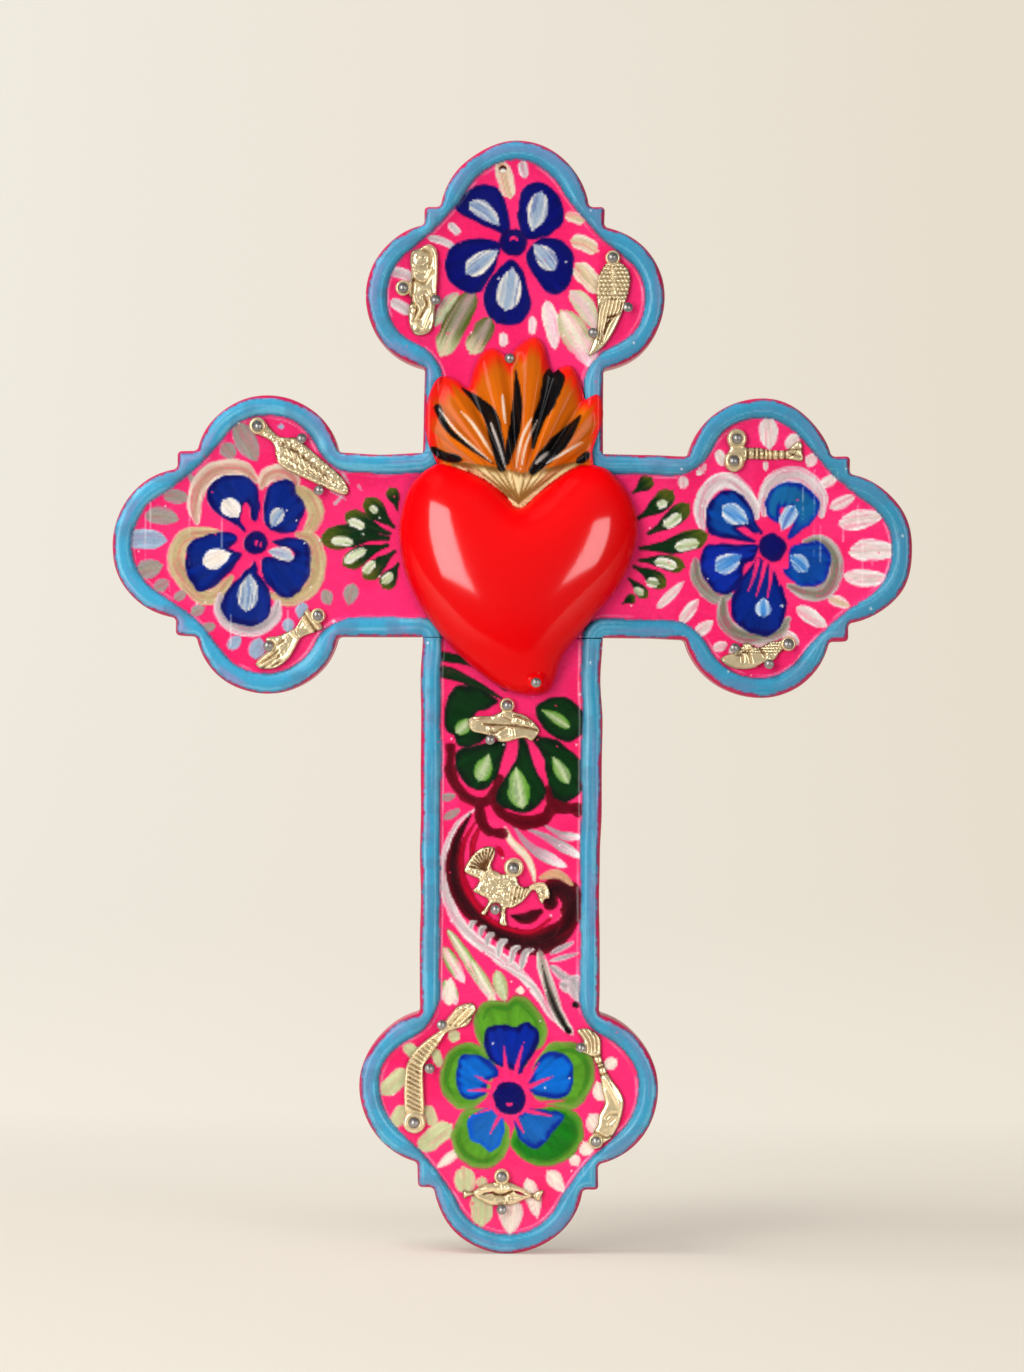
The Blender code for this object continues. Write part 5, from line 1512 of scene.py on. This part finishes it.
# Cast charms: small reliefs, with lines cut into them and lines raised on them in mm from the ring
casting = {
    "seat": fieldDepth + 0.3,
    "edge": 0.6,  # height at the outline
    "top": 1.45,
    "most": 1.78,  # the nail heads start above this
    "shoulder": 1.5,  # how far in from the outline the casting is rounded
    "step": 0.19,
    "hole": 0.9,  # radius of the hole in a ring
    "ringHeight": 1.7,
}
charms = {
    "praying_figure": {
        "rings": [(0, 0, 2)],
        "outline": [
            (6.2, 11.1), (7.6, 10.6), (8.5, 9.4), (8.7, 6.9), (8.6, 1.6), (8.2, -3.7), (7.6, -9.4),
            (6.2, -11.4), (3.9, -11.9), (2.5, -11.1), (1.6, -8.8), (1.4, -5.5), (2, -3), (1.2, -0.9),
            (1.2, 0.9), (2, 2.6), (1.9, 5.1), (1.7, 7.2), (2.2, 9.2), (4.2, 10.1),
        ],
        "domes": [(4.3, 7.3, 2.2, 0.5), (2.6, -5.7, 0.9, 0.3), (3.3, -10, 1.1, 0.25)],
        "ridges": [
            (0.9, 0.5, (5.1, 10.4), (7.2, 10.2), (8.2, 7.8), (8.3, 3.4), (8.1, -1.1)),
            (0.8, 0.5, (2.65, 4.6), (3, 3), (4.4, 1.8), (6, 2.1), (7.2, 4.6)),
            (0.7, 0.4, (2.4, 4.8), (4.9, 4.2)),
            (0.7, 0.4, (2.65, -1.9), (3.2, -3.7), (4.2, -5.1), (3.9, -6.5), (3.2, -7.8)),
            (0.7, 0.35, (4.4, -0.35), (6.2, 0), (7.2, -1.1)), (0.6, 0.3, (2.8, -8.5), (4.9, -10.4)),
            (0.7, 0.35, (6.6, -2.2), (7, -5), (6, -8), (5.2, -10.2)),
        ],
        "grooves": [
            (0.5, 0.6, (2.8, 2.1), (4.8, 1.2), (6, 1.8), (7.5, 4.4)),
            (0.5, 0.6, (2.5, 2.3), (2.3, -1.2), (2.1, -3.4), (3.4, -4.4), (3.5, -5.5), (2.8, -7.9)),
            (0.5, 0.6, (5.3, -1.9), (6, -4.2), (4.9, -6.4), (4.4, -7.4)),
            (0.45, 0.5, (5, 9.6), (6.5, 8.9), (6.9, 7), (6.5, 5.2)), (0.3, 0.22, (3.3, 7.65), (3.9, 7.65)),
            (0.3, 0.22, (4.7, 7.65), (5.3, 7.65)), (0.3, 0.22, (3.8, 6.05), (4.8, 6.05)),
            (0.4, 0.4, (2.4, -8.4), (4.6, -8.2)),
        ],
        "grain": (1.5, 0.12),
    },
    "wing": {
        "rings": [(0, 0, 1.9)],
        "outline": [
            (0, -0.9), (1.3, -0.9), (2.5, -1.5), (4, -2.9), (4.5, -5), (4.3, -7.7), (3.5, -10.6),
            (2.5, -13.6), (1.7, -15.8), (0.6, -18.1), (-1, -20.9), (-3.1, -23.2), (-5, -24.3), (-5.9, -24.6),
            (-5.3, -22.6), (-4.4, -20), (-3.8, -16.9), (-3.6, -12.7), (-3.9, -10.6), (-4, -7.7),
            (-3.6, -4.8), (-2.7, -2.9), (-1.5, -1.3),
        ],
        "ridges": [(0.7, 0.3, (0.1, -1.9), (0.4, -5), (0.7, -9)), (0.7, 0.3, (-3.4, -5), (-3.7, -9))],
        "grooves": [
            (0.4, 0.5, (start, -10.2 - 0.5 * abs(start)), (start - 0.8, -14), (0.55 * start - 2.4, tip))
            for start, tip in (
                (-2.8, -19), (-1.9, -20.5), (-1, -21.5), (-0.1, -21), (0.8, -19), (1.7, -17),
                (2.5, -15),
            )
        ],
        "beads": {"spacing": 1.05, "height": 0.4, "low": -10, "high": -2},
    },
    "maize": {
        "rings": [(0, 0, 2.2)],
        "outline": [
            (-2, 0.4), (-1.2, 1.6), (0.2, 2), (1.6, 1.4), (2.6, 0.3), (3.8, -1.2), (5.5, -2.6), (7.8, -2.9),
            (9.7, -2.9), (12.6, -5.2), (15.5, -7.7), (19, -10.6), (21.3, -12.7), (23, -15.6), (22.6, -17.1),
            (21.3, -17.1), (18.4, -16), (14.7, -14.4), (10.5, -12.4), (7.8, -11.2), (5.5, -9.4), (4.7, -7.7),
            (4.4, -5.6), (3.6, -4), (1.6, -2.8), (-0.4, -2), (-1.7, -1),
        ],
        "ridges": [
            (0.9, 0.45, (5.2, -8.8), (7.8, -10.7), (10.6, -11.9), (14.8, -13.8), (18.4, -15.4),
             (21.4, -16.4)),
        ],
        "grooves": [
            *(
                (0.6, 0.28, (6 + x, -3.6 - 0.72 * x), (7.2 + x, -6.2 - 0.72 * x), (7.5 + x, -8.8 - 0.6 * x))
                for x in (0, 1.4, 2.8, 4.2, 5.6, 7, 8.4, 9.8, 11.2)
            ),
            (0.45, 0.2, (5.4, -4.6), (10, -6.6), (15.5, -11), (20.5, -14.6)),
            (0.45, 0.2, (5.3, -6.8), (9.5, -9), (14.5, -12.4), (19, -15)),
        ],
        "grain": (1.3, 0.35),
    },
    "hand": {
        "rings": [(-0.9, -0.75, 1.9)],
        "outline": [
            (-3.7, 0.9), (-2.2, -0.3), (-0.6, -2), (0.3, -3.8), (-0.4, -4.4), (-2.6, -5.3), (-5.1, -6.4),
            (-6.5, -8.8), (-7.6, -10.8), (-9.2, -12.6), (-11.2, -13.9), (-13, -14.3), (-15.2, -14.2),
            (-16.5, -13.2), (-16.1, -12.2), (-14.8, -10.9), (-13.2, -9.5), (-12.2, -8.4), (-12.7, -7.7),
            (-13.9, -7.3), (-13.9, -6.6), (-12.9, -6.2), (-11.1, -6), (-9.4, -5.3), (-7.6, -4.4),
            (-6.5, -3.9), (-5.1, -1.4),
        ],
        "ridges": [
            (0.8, 0.45, (-3.9, 0.1), (-0.55, -4.2)), (0.8, 0.45, (-5, -0.9), (-2, -5.2)),
            (0.7, 0.4, (-5, -1.3), (-6.9, -4.6)), (0.8, 0.4, (-7.2, -4.9), (-6, -6.5)),
            (0.9, 0.5, (-6.3, -7.3), (-7.7, -10.2), (-9.6, -12.3)),
            (0.8, 0.4, (-11.4, -7.9), (-12.6, -9.9), (-15.6, -12.6)),
            (0.8, 0.4, (-11.6, -11.6), (-15.4, -13.6)),
        ],
        "grooves": [
            (0.5, 0.6, (-4.5, -0.4), (-1.3, -4.8)), (0.45, 0.55, (-11, -9.8), (-13, -11.4), (-15.6, -13.1)),
            (0.45, 0.55, (-10.6, -11), (-12.6, -12.6), (-14.6, -14)),
            (0.45, 0.5, (-10, -12.2), (-12.2, -13.6)), (0.5, 0.5, (-9.6, -7.2), (-11.2, -8.2), (-12, -9.6)),
        ],
        "grain": (1.4, 0.15),
    },
    "key": {
        "rings": [(0, 0, 2.5), (-0.6, -5.5, 2.5)],
        "outline": [
            (-2.4, -0.4), (-1.6, 1.6), (0, 2.4), (1.8, 1.8), (2.6, 0), (2, -1.9), (3.2, -2.2), (5.5, -2.2),
            (8.7, -2.8), (12.6, -2.7), (14, -1.6), (15.6, -0.4), (16.5, -1.2), (16.5, -2.9), (16.5, -5.4),
            (12.8, -5), (7.9, -5.2), (3.4, -5.1), (2.2, -5.6), (1.6, -7.2), (-0.5, -8.4), (-2.6, -7.4),
            (-3.2, -5.4), (-2.2, -3.4), (-1.8, -2.4),
        ],
        "domes": [(3.8, -3.7, 1, 0.4), (6.3, -3.7, 0.8, 0.35)],
        "ridges": [(0.7, 0.35, (at, -2.6), (at, -4.9)) for at in (5.1, 7.4, 8.5, 9.9, 11.3)],
        "grooves": [
            *((0.45, 0.6, (at, -2.3), (at, -5.2)) for at in (2.8, 4.6, 5.6, 7, 7.9, 9, 10.6, 12.2)),
            (0.4, 0.5, (12.8, -2.7), (16.3, -2.5)), (0.4, 0.4, (13.4, -3.6), (16.2, -4.4)),
            (0.4, 0.4, (13.2, -4.6), (15.2, -3.2)),
        ],
        "grain": (1.6, 0.12),
    },
    "shoe": {
        "rings": [(0, 0, 1.9)],
        "outline": [
            (-1, 1), (-2.8, 0.6), (-4.3, 0.5), (-5.5, -0.2), (-7, -0.9), (-8.4, -0.9), (-9.9, 0.1),
            (-11, 0.1), (-12, -1), (-13.2, -2.2), (-15.4, -2.9), (-17, -3.9), (-16.3, -5), (-14.8, -5.9),
            (-12.8, -6.4), (-10.4, -6.5), (-8.1, -6), (-5.9, -4.8), (-3.6, -4.1), (-2.4, -2.6), (-1.2, -1.2),
        ],
        "ridges": [
            (0.7, 0.3, (-16.2, -4.4), (-13, -5.6), (-10.4, -5.8), (-8, -5.3), (-5, -4.1)),
            (0.8, 0.4, (-10.9, -0.4), (-10.4, -1.6)), (0.8, 0.4, (-9.8, -0.4), (-9.2, -1.6)),
        ],
        "grooves": [
            (0.5, 0.5, (-11.2, -2.2), (-9.5, -1.6)), (0.5, 0.5, (-13, -2.9), (-11.6, -3), (-11.4, -4.5)),
            (0.5, 0.5, (-10.1, -2.4), (-9.6, -3.6), (-9.3, -4.8)),
            (0.5, 0.5, (-7.2, -1), (-6.4, -2.2), (-5.8, -3.2)),
            (0.35, 0.4, (-16, -4.9), (-13, -6), (-10.4, -6.1), (-7.8, -5.6), (-5.2, -4.5)),
        ],
        "beads": {"spacing": 0.8, "height": 0.2, "low": -2.2, "high": 0.6},
    },
    "oval": {
        "rings": [(0, 0, 1.9)],
        "outline": [
            (-0.6, -1), (-2.3, -2.1), (-4.3, -2.8), (-8, -2.9), (-9.6, -3.6), (-9.7, -5.1), (-8.7, -6.7),
            (-6.3, -7.3), (-4.3, -7.8), (-2.8, -8.3), (-1.9, -9.3), (0.4, -9.2), (2.9, -8.5), (4.6, -8.3),
            (6.2, -9), (7.5, -7.8), (8.2, -6.5), (7.7, -5.3), (6.3, -3.8), (4.1, -2.4), (2.1, -1.8),
            (0.6, -1),
        ],
        "domes": [(2.7, -3.9, 1.1, 0.35), (-4.2, -5.9, 0.9, 0.25), (5, -4.7, 1.1, 0.25)],
        "ridges": [
            (0.8, 0.4, (1.2, -6.2), (1.4, -8.2)), (0.8, 0.35, (-1.6, -8.6), (0.6, -8)),
            (0.8, 0.3, (-9, -4.6), (-7.6, -3.6)),
        ],
        "grooves": [
            (0.5, 0.55, (-5.7, -4.8), (-3.5, -5), (0.2, -5.05), (2.2, -5.3), (6.1, -5.9), (7.6, -6.3)),
            (0.5, 0.5, (-0.5, -5.6), (-1.9, -6.3), (-2.9, -7), (-4, -7)),
            (0.5, 0.45, (1.9, -2.6), (3.2, -2.8), (4.9, -3.5)), (0.4, 0.35, (-0.8, -2.8), (1, -3.8)),
            (0.4, 0.3, (-8.4, -3.6), (-6, -3.4), (-4, -3.4)),
        ],
        "grain": (1.2, 0.12),
    },
    "turkey": {
        "rings": [(0, 0, 2.5)],
        "outline": [
            (-4.8, 4.6), (-6.5, 5.3), (-8.9, 4.4), (-10.7, 2.6), (-12, 0.6), (-12.4, -1.1), (-10.6, -2.2),
            (-8.7, -3.1), (-9.2, -4.6), (-10.2, -5.9), (-8.5, -7), (-6.4, -8.1), (-7, -10), (-8.2, -11.5),
            (-7.1, -12), (-5.7, -9.8), (-4.3, -9), (-3.4, -9.8), (-3.3, -11.8), (-3.4, -14.3), (-1.6, -14.6),
            (-1.9, -12.7), (-1.8, -10.4), (-0.4, -10.2), (1.8, -9), (3.5, -7.2), (4.9, -5.7), (5.8, -6.4),
            (6.5, -8.2), (7.3, -9.1), (8, -8), (9, -7.6), (9, -5.9), (8.1, -4.1), (6.6, -3.6), (4.6, -4.2),
            (3, -5), (1.4, -4.3), (0.6, -2), (-1.2, -1.6), (-3, -1.7), (-4.1, -1.1), (-5.2, -0.6),
            (-5.7, 0.6), (-5, 2.4),
        ],
        "domes": [(6.9, -6.8, 0.9, 0.35)],
        "ridges": [
            (0.6, 0.4, (-7, -0.2), (-7.9, -2.6), (-8.7, -3.3)),
            (0.6, 0.4, (-6.1, -0.6), (-5.2, -1.7), (-4.4, -2.4), (-3.7, -1.9)),
            (0.8, 0.45, (4.4, -4.6), (6.5, -3.95), (7.9, -4.4), (8.7, -5.9), (8.7, -7.2)),
        ],
        "grooves": [
            *(
                (0.4, 0.6, (-7.2, -0.6), (0.9 * x, 0.9 * z))
                for x, z in (
                    (-5.6, 4.9), (-6.6, 5.3), (-7.7, 4.9), (-8.7, 4.5), (-9.6, 3.8), (-10.4, 3),
                    (-11.1, 2.1), (-11.7, 1.3), (-12.2, 0.2),
                )
            ),
            (0.4, 0.5, (3.7, -5), (2.95, -6.8)), (0.4, 0.5, (2.8, -5.2), (2, -7.6)),
            (0.4, 0.5, (1.85, -5.2), (1.1, -8.3)), (0.4, 0.5, (0.9, -5), (0, -9.2)),
            (0.4, 0.4, (-0.2, -5), (-0.9, -9.4)),
        ],
        "grain": (2.2, 0.3),
    },
    "sleeved_arm": {
        "rings": [(0, 0, 2.9)],
        "outline": [
            (-1.9, 1.6), (-2.4, 3.5), (-2.6, 7.6), (-2.3, 12.7), (-1.4, 15.8), (0.6, 18.6), (3.5, 21.2),
            (6.3, 23.2), (7.6, 25.5), (9.1, 27.3), (10.7, 29.1), (12.7, 29.9), (14.5, 30), (15.4, 28.6),
            (14.6, 27.1), (14.2, 25.8), (13, 24.3), (10.1, 23.4), (7.6, 22.2), (5.8, 19.1), (3.7, 16.3),
            (2.4, 14.2), (2.2, 11.2), (2.4, 7.6), (2.6, 3.2), (1.9, 1.6),
        ],
        "ridges": [
            (0.7, 0.5, (-2.1, 3), (-2.2, 7.4), (-2, 12.6), (-1, 15.6), (1, 18.3), (4, 20.9), (6.9, 23.2),
             (8.3, 25.4), (10.6, 28.4)),
            (0.7, 0.5, (2.2, 3), (2, 7.4), (1.8, 11.6), (2.2, 14.4), (3.6, 16.8), (5.5, 19.6), (7.4, 22)),
            (0.7, 0.35, (9.8, 25), (13.6, 28.8)), (0.7, 0.35, (11, 24.6), (14.2, 27.6)),
        ],
        "grooves": [
            *(
                (0.4, 0.5, (-1.5, at), (1.5, at - 1.6))
                for at in (4.2, 5.4, 6.6, 7.8, 9, 10.2, 11.4, 12.6, 13.8, 15)
            ),
            *(
                (0.4, 0.45, (-0.8 + 0.9 * k, 16.4 + 0.75 * k), (1.5 + 0.9 * k, 14.8 + 0.75 * k))
                for k in range(7)
            ),
            (0.4, 0.5, (9, 24.6), (12.6, 28.6)), (0.4, 0.5, (10.2, 24.2), (13.8, 27.8)),
            (0.4, 0.5, (11.5, 24.4), (14.3, 26.8)),
        ],
        "grain": (1.8, 0.18),
    },
    "bare_arm": {
        "rings": [(0, 0, 1.9)],
        "outline": [
            (-4.9, 27.7), (-3.7, 28.4), (-1.8, 28.2), (-0.1, 27.1), (1, 25.6), (1.1, 22.3), (1.4, 20.6),
            (2.6, 17.7), (3.7, 15.8), (5.7, 13.1), (6.9, 10.5), (6.6, 7.3), (5.7, 4.2), (4.2, 1.3), (2.8, 0),
            (1, -0.9), (-0.8, 0.8), (-0.5, 2.4), (0.4, 4.2), (0.8, 6.6), (2.2, 9.5), (1.6, 12.4), (1, 16.3),
            (0.3, 18.7), (-0.8, 20.8), (-2.5, 22), (-5.2, 23), (-5, 23.9), (-3.4, 24.6), (-3.6, 25.9),
        ],
        "ridges": [(0.8, 0.3, (-5, 23.3), (-2.2, 22.1)), (0.9, 0.3, (2.4, 15.6), (4.2, 12.4), (5.6, 9.6))],
        "grooves": [
            (0.45, 0.6, (-1.3, 21), (1.4, 21.8)), (0.45, 0.6, (-0.3, 19.2), (1.9, 20)),
            (0.45, 0.6, (0.2, 18.3), (2.2, 19.1)), (0.45, 0.6, (0.8, 16.6), (3.2, 17.3)),
            (0.4, 0.5, (-2.5, 28), (-1.1, 25.6), (-0.8, 23)),
            (0.4, 0.5, (-3.7, 28), (-1.9, 24.9), (-1.7, 22.3)),
            (0.4, 0.5, (-1.1, 27.6), (-0.1, 25.9), (0.1, 23.2)),
            (0.5, 0.3, (2.6, 5.9), (3.8, 6.8), (5.6, 7)), (0.5, 0.25, (3.2, 4.4), (4.6, 5.6)),
            (0.45, 0.5, (-0.2, 2.3), (2.4, 1), (3.9, 1.3)),
        ],
        "grain": (0.9, 0.08),
    },
    "lips": {
        "rings": [(0, 0, 2)],
        "outline": [
            (-1, -1.2), (-2.2, -1.6), (-4.6, -2.2), (-7.3, -3.8), (-8.6, -3.9), (-9.7, -3.7), (-9.5, -5.7),
            (-8.4, -5.1), (-7.1, -5), (-4.6, -6.4), (-2.5, -7.4), (0.1, -7.2), (2.8, -7.2), (6, -5.7),
            (7.7, -5.4), (9.4, -6.3), (10, -5), (10.5, -3.6), (9.3, -3.5), (7.7, -4.3), (5.1, -2.9),
            (2.4, -1.6), (1, -1.2),
        ],
        "openings": [
            [(-5.1, -4.75), (-4.1, -4.1), (-2.65, -3.85), (-2.1, -4.1), (-3.4, -4.45)],
            [(3, -3.6), (4.4, -3.75), (5.9, -4.45), (6.5, -4.85), (5.1, -4.7), (3.7, -4.2)],
        ],
        "ridges": [
            (1, 0.35, (-6.6, -4), (-4.2, -3), (-2, -2.9), (0.2, -3.4), (2.2, -2.8), (4.2, -2.9),
             (7.2, -4.4)),
            (1, 0.3, (-6, -5.2), (-3.2, -6.2), (0, -6.2), (3.2, -6), (6.6, -5)),
        ],
        "grooves": [
            (0.5, 0.7, (-2.2, -4.1), (-1.6, -4.5), (-0.2, -4.7), (0.9, -4.5), (2.6, -3.7)),
            (0.45, 0.5, (-7.3, -3.9), (-7.2, -4.9)), (0.45, 0.5, (7.7, -4.4), (7.8, -5.3)),
            (0.4, 0.35, (-0.6, -2.2), (-0.2, -4.2)), (0.4, 0.3, (0.8, -5.2), (1.2, -7)),
        ],
        "grain": (1.5, 0.2),
    },
}


def castRelief(flat, edge, form):
    # heights over the back of a charm, and how dark it is: patina in its hollows, and painted contact shade
    # along its outline
    across, up = flat.T
    fromEdge = distanceTo(flat, edge)
    inward = np.clip(fromEdge / casting["shoulder"], 0, 1)
    height = casting["edge"] + (casting["top"] - 0.3 - casting["edge"]) * np.sqrt(1 - (1 - inward) ** 2)
    # painted contact shade along the charm's outline
    soil = 0.5 * (1 - ease(0.0, 0.4, fromEdge))
    for x, z, radius, rise in form.get("domes", []):
        away = np.clip(np.hypot(*(flat - (x, z)).T) / radius, 0, 1)
        height += rise * np.sqrt(1 - away**2)
        soil += 0.35 * np.exp(-(((away - 1) * radius / 0.25) ** 2)) * (away < 1)
    for width, rise, *path in form.get("ridges", []):
        near = np.exp(-((distanceTo(flat, smoothLine(path), closed=False) / (0.55 * width)) ** 2))
        height += rise * near
        soil -= 0.5 * near
    for width, depth, *path in form.get("grooves", []):
        near = np.exp(-((distanceTo(flat, smoothLine(path), closed=False) / (0.6 * width)) ** 2))
        height -= depth * near
        soil += 1.05 * depth * near
    if "grain" in form:
        rate, rise = form["grain"]
        lumps = noise(across * rate + 30, up * rate + 60, 91)
        fine = noise(across * rate * 2.1 + 90, up * rate * 2.1 + 20, 92)
        lumps = 0.6 * lumps + 0.4 * fine
        height += rise * (lumps - 0.5)
        soil += rise * ease(0.5, 0.2, lumps)
    if "beads" in form:
        beads = form["beads"]
        row = np.floor(up / beads["spacing"])
        x = (across / beads["spacing"] + 0.5 * (row % 2)) % 1 - 0.5
        z = (up / beads["spacing"]) % 1 - 0.5
        bead = np.clip(1 - (x * x + z * z) / 0.2, 0, 1)
        among = ease(beads["low"] - 1, beads["low"], up)
        among = among * ease(beads["high"] + 0.5, beads["high"], up)
        height += beads["height"] * among * (np.sqrt(bead) - 0.5)
        soil += 0.5 * among * (bead < 0.1)
    return np.clip(height, 0.3, casting["most"]), np.clip(soil, 0, 1)


def castRing(x, z, outer):
    band = outer - casting["hole"]
    bpy.ops.mesh.primitive_torus_add(
        major_segments=32,
        minor_segments=14,
        major_radius=(outer + casting["hole"]) / 2 * mm,
        minor_radius=band / 2 * mm,
        location=(x * mm, -(casting["seat"] + casting["ringHeight"] / 2) * mm, z * mm),
        rotation=(math.pi / 2, 0, 0),
    )
    ring = bpy.context.object
    ring.scale.z = casting["ringHeight"] / band
    bpy.ops.object.transform_apply(location=True, rotation=True, scale=True)
    bpy.ops.object.shade_smooth()
    setAttribute(ring, "soil", np.full(len(ring.data.vertices), 0.08))
    return ring


def castCharms():
    for title, form in charms.items():
        at = nailSpot(title + "_ring_nail_1") - form["rings"][0][:2]
        edge = evenly(smoothLine(form["outline"], closed=True, steps=6), 0.25)
        openings = [smoothLine(line, closed=True, steps=4) for line in form.get("openings", [])]
        openings = [evenly(line, 0.25) for line in openings]
        inner = gridInside(edge, casting["step"], seed=21)
        for line in openings:
            inner = inner[~insideOf(inner, line)]
            inner = inner[distanceTo(inner, line) > 0.5 * casting["step"]]
        flat, faces = triangulate([edge, *openings], inner)
        height, soil = castRelief(flat, edge, form)
        back = np.full(len(flat), casting["seat"])
        name = title.title().replace("_", "")
        piece = reliefPiece(name[0].lower() + name[1:] + "Charm", flat + at, faces, back + height, back)
        setAttribute(piece, "soil", np.concatenate([soil, np.full(len(flat), 0.5)]))
        rings = [castRing(at[0] + x, at[1] + z, outer) for x, z, outer in form["rings"]]
        bpy.ops.object.select_all(action="DESELECT")
        for ring in [*rings, piece]:
            ring.select_set(True)
        bpy.context.view_layer.objects.active = piece
        bpy.ops.object.join()
        piece.data.materials.clear()
        piece.data.materials.append(goldCast)
        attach(piece, "root")
        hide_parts(title + "_charm")
    print("charms cast")


castCharms()

# Camera, light and floor
studio = {
    "distance": 1.1,  # m from the field to the camera
    "aim": (0.0001, -0.0352),  # x and z at the middle of the photograph
    "sensor": 36.0,
    "floorColour": (0.86, 0.79, 0.685),
    "backdropLeft": (0.955, 0.91, 0.82),  # the paper is paler towards the lamp
    "backdropRight": (0.85, 0.765, 0.635),
    "backdropSpan": (-0.5, 0.6),
    "evenNear": 0.4,  # how far the paper is one even colour near the object, and far behind it
    "evenFar": 0.88,
    "evenSpan": (0.08, 0.34),
    "paperFront": -0.21,  # the paper's front edge, just below the picture
    "paperHalf": 4.0,  # half its width
    "paperBend": 1.6,  # where it starts to curve up, the radius of the curve and the top's height
    "paperCurve": 1.0,
    "paperTop": 4.0,
    "lampAim": (0, 0, -0.03),
    "worldStrength": 0.12,
    "worldColour": (1.0, 0.94, 0.86),
    "lamps": {
        "leftBox": {"at": (-0.72, -1.15, 0.22), "size": (0.62, 1.15), "power": 12.2},
        "rightBox": {"at": (0.85, -1.15, 0.05), "size": (0.5, 0.8), "power": 5.4},
        "overhead": {"at": (-0.6, -0.25, 1.2), "size": (0.9, 0.7), "power": 16.5},
    },
}


def makeCamera():
    data = bpy.data.cameras.new("photoCamera")
    data.sensor_fit = "HORIZONTAL"
    data.sensor_width = studio["sensor"]
    width = photo["size"][0] * photo["scale"] * mm
    data.lens = studio["sensor"] * studio["distance"] / width
    data.clip_start = 0.01
    camera = bpy.data.objects.new("photoCamera", data)
    front = -board["thickness"] * mm
    camera.location = (studio["aim"][0], front - studio["distance"], studio["aim"][1])
    camera.rotation_euler = (math.pi / 2, -math.radians(photo["roll"]), 0)
    bpy.context.scene.collection.objects.link(camera)
    bpy.context.scene.camera = camera


def makeLamps():
    for name, lamp in studio["lamps"].items():
        data = bpy.data.lights.new(name, "AREA")
        data.shape = "RECTANGLE"
        data.size, data.size_y = lamp["size"]
        data.energy = lamp["power"]
        light = bpy.data.objects.new(name, data)
        light.location = lamp["at"]
        aim = Vector(studio["lampAim"]) - light.location
        light.rotation_euler = aim.to_track_quat("-Z", "Y").to_euler()
        bpy.context.scene.collection.objects.link(light)
    # the lamp overhead is for the paper and the shadow, and isn't mirrored in the paint
    bpy.data.objects["overhead"].visible_glossy = False
    world = bpy.data.worlds.new("studio")
    world.use_nodes = True
    shade = world.node_tree.nodes["Background"]
    shade.inputs["Color"].default_value = (*studio["worldColour"], 1)
    shade.inputs["Strength"].default_value = studio["worldStrength"]
    bpy.context.scene.world = world


def makeFloor():
    # a sheet of paper that curves up behind the object
    level = -board["foot"] * mm
    start, curve, half = studio["paperBend"], studio["paperCurve"], studio["paperHalf"]
    profile = [(studio["paperFront"], level)]
    for angle in np.linspace(0, math.pi / 2, 14):
        profile.append((start + curve * math.sin(angle), level + curve - curve * math.cos(angle)))
    profile.append((start + curve, studio["paperTop"]))
    shape = bmesh.new()
    rows = [[shape.verts.new((side, y, z)) for side in (-half, half)] for y, z in profile]
    for low, high in zip(rows, rows[1:]):
        shape.faces.new((low[0], low[1], high[1], high[0]))
    mesh = bpy.data.meshes.new("paperFloor")
    shape.to_mesh(mesh)
    shape.free()
    for polygon in mesh.polygons:
        polygon.use_smooth = True
    floor = bpy.data.objects.new("paperFloor", mesh)
    bpy.context.scene.collection.objects.link(floor)
    made, nodes, links, shader = newMaterial("paper", **{"Roughness": 0.9, "Specular IOR Level": 0.1})
    place = node(nodes, "TexCoord")
    apart = node(nodes, "SeparateXYZ")
    links.new(place.outputs["Object"], apart.inputs["Vector"])
    shader.inputs["Base Color"].default_value = (*studio["floorColour"], 1)
    across = remap(nodes, links, apart.outputs["X"], studio["backdropSpan"], (0, 1))
    backdrop = node(nodes, "Mix", data_type="RGBA")
    backdrop.inputs[6].default_value = (*studio["backdropLeft"], 1)
    backdrop.inputs[7].default_value = (*studio["backdropRight"], 1)
    links.new(across, backdrop.inputs["Factor"])
    glow = node(nodes, "Emission")
    links.new(backdrop.outputs[2], glow.inputs["Color"])
    shares = (studio["evenNear"], studio["evenFar"])
    even = remap(nodes, links, apart.outputs["Y"], studio["evenSpan"], shares)
    rays = node(nodes, "LightPath")
    seen = rays.outputs["Is Camera Ray"]
    for kind in ("Is Glossy Ray", "Is Transmission Ray"):
        either = node(nodes, "Math", operation="MAXIMUM")
        links.new(seen, either.inputs[0])
        links.new(rays.outputs[kind], either.inputs[1])
        seen = either.outputs["Value"]
    share = node(nodes, "Math", operation="MULTIPLY")
    links.new(seen, share.inputs[0])
    links.new(even, share.inputs[1])
    blend = node(nodes, "MixShader")
    links.new(share.outputs["Value"], blend.inputs[0])
    links.new(shader.outputs["BSDF"], blend.inputs[1])
    links.new(glow.outputs["Emission"], blend.inputs[2])
    links.new(blend.outputs["Shader"], nodes["Material Output"].inputs["Surface"])
    floor.data.materials.append(made)


makeCamera()
makeLamps()
makeFloor()
view = bpy.context.scene.view_settings
view.view_transform = "Standard"
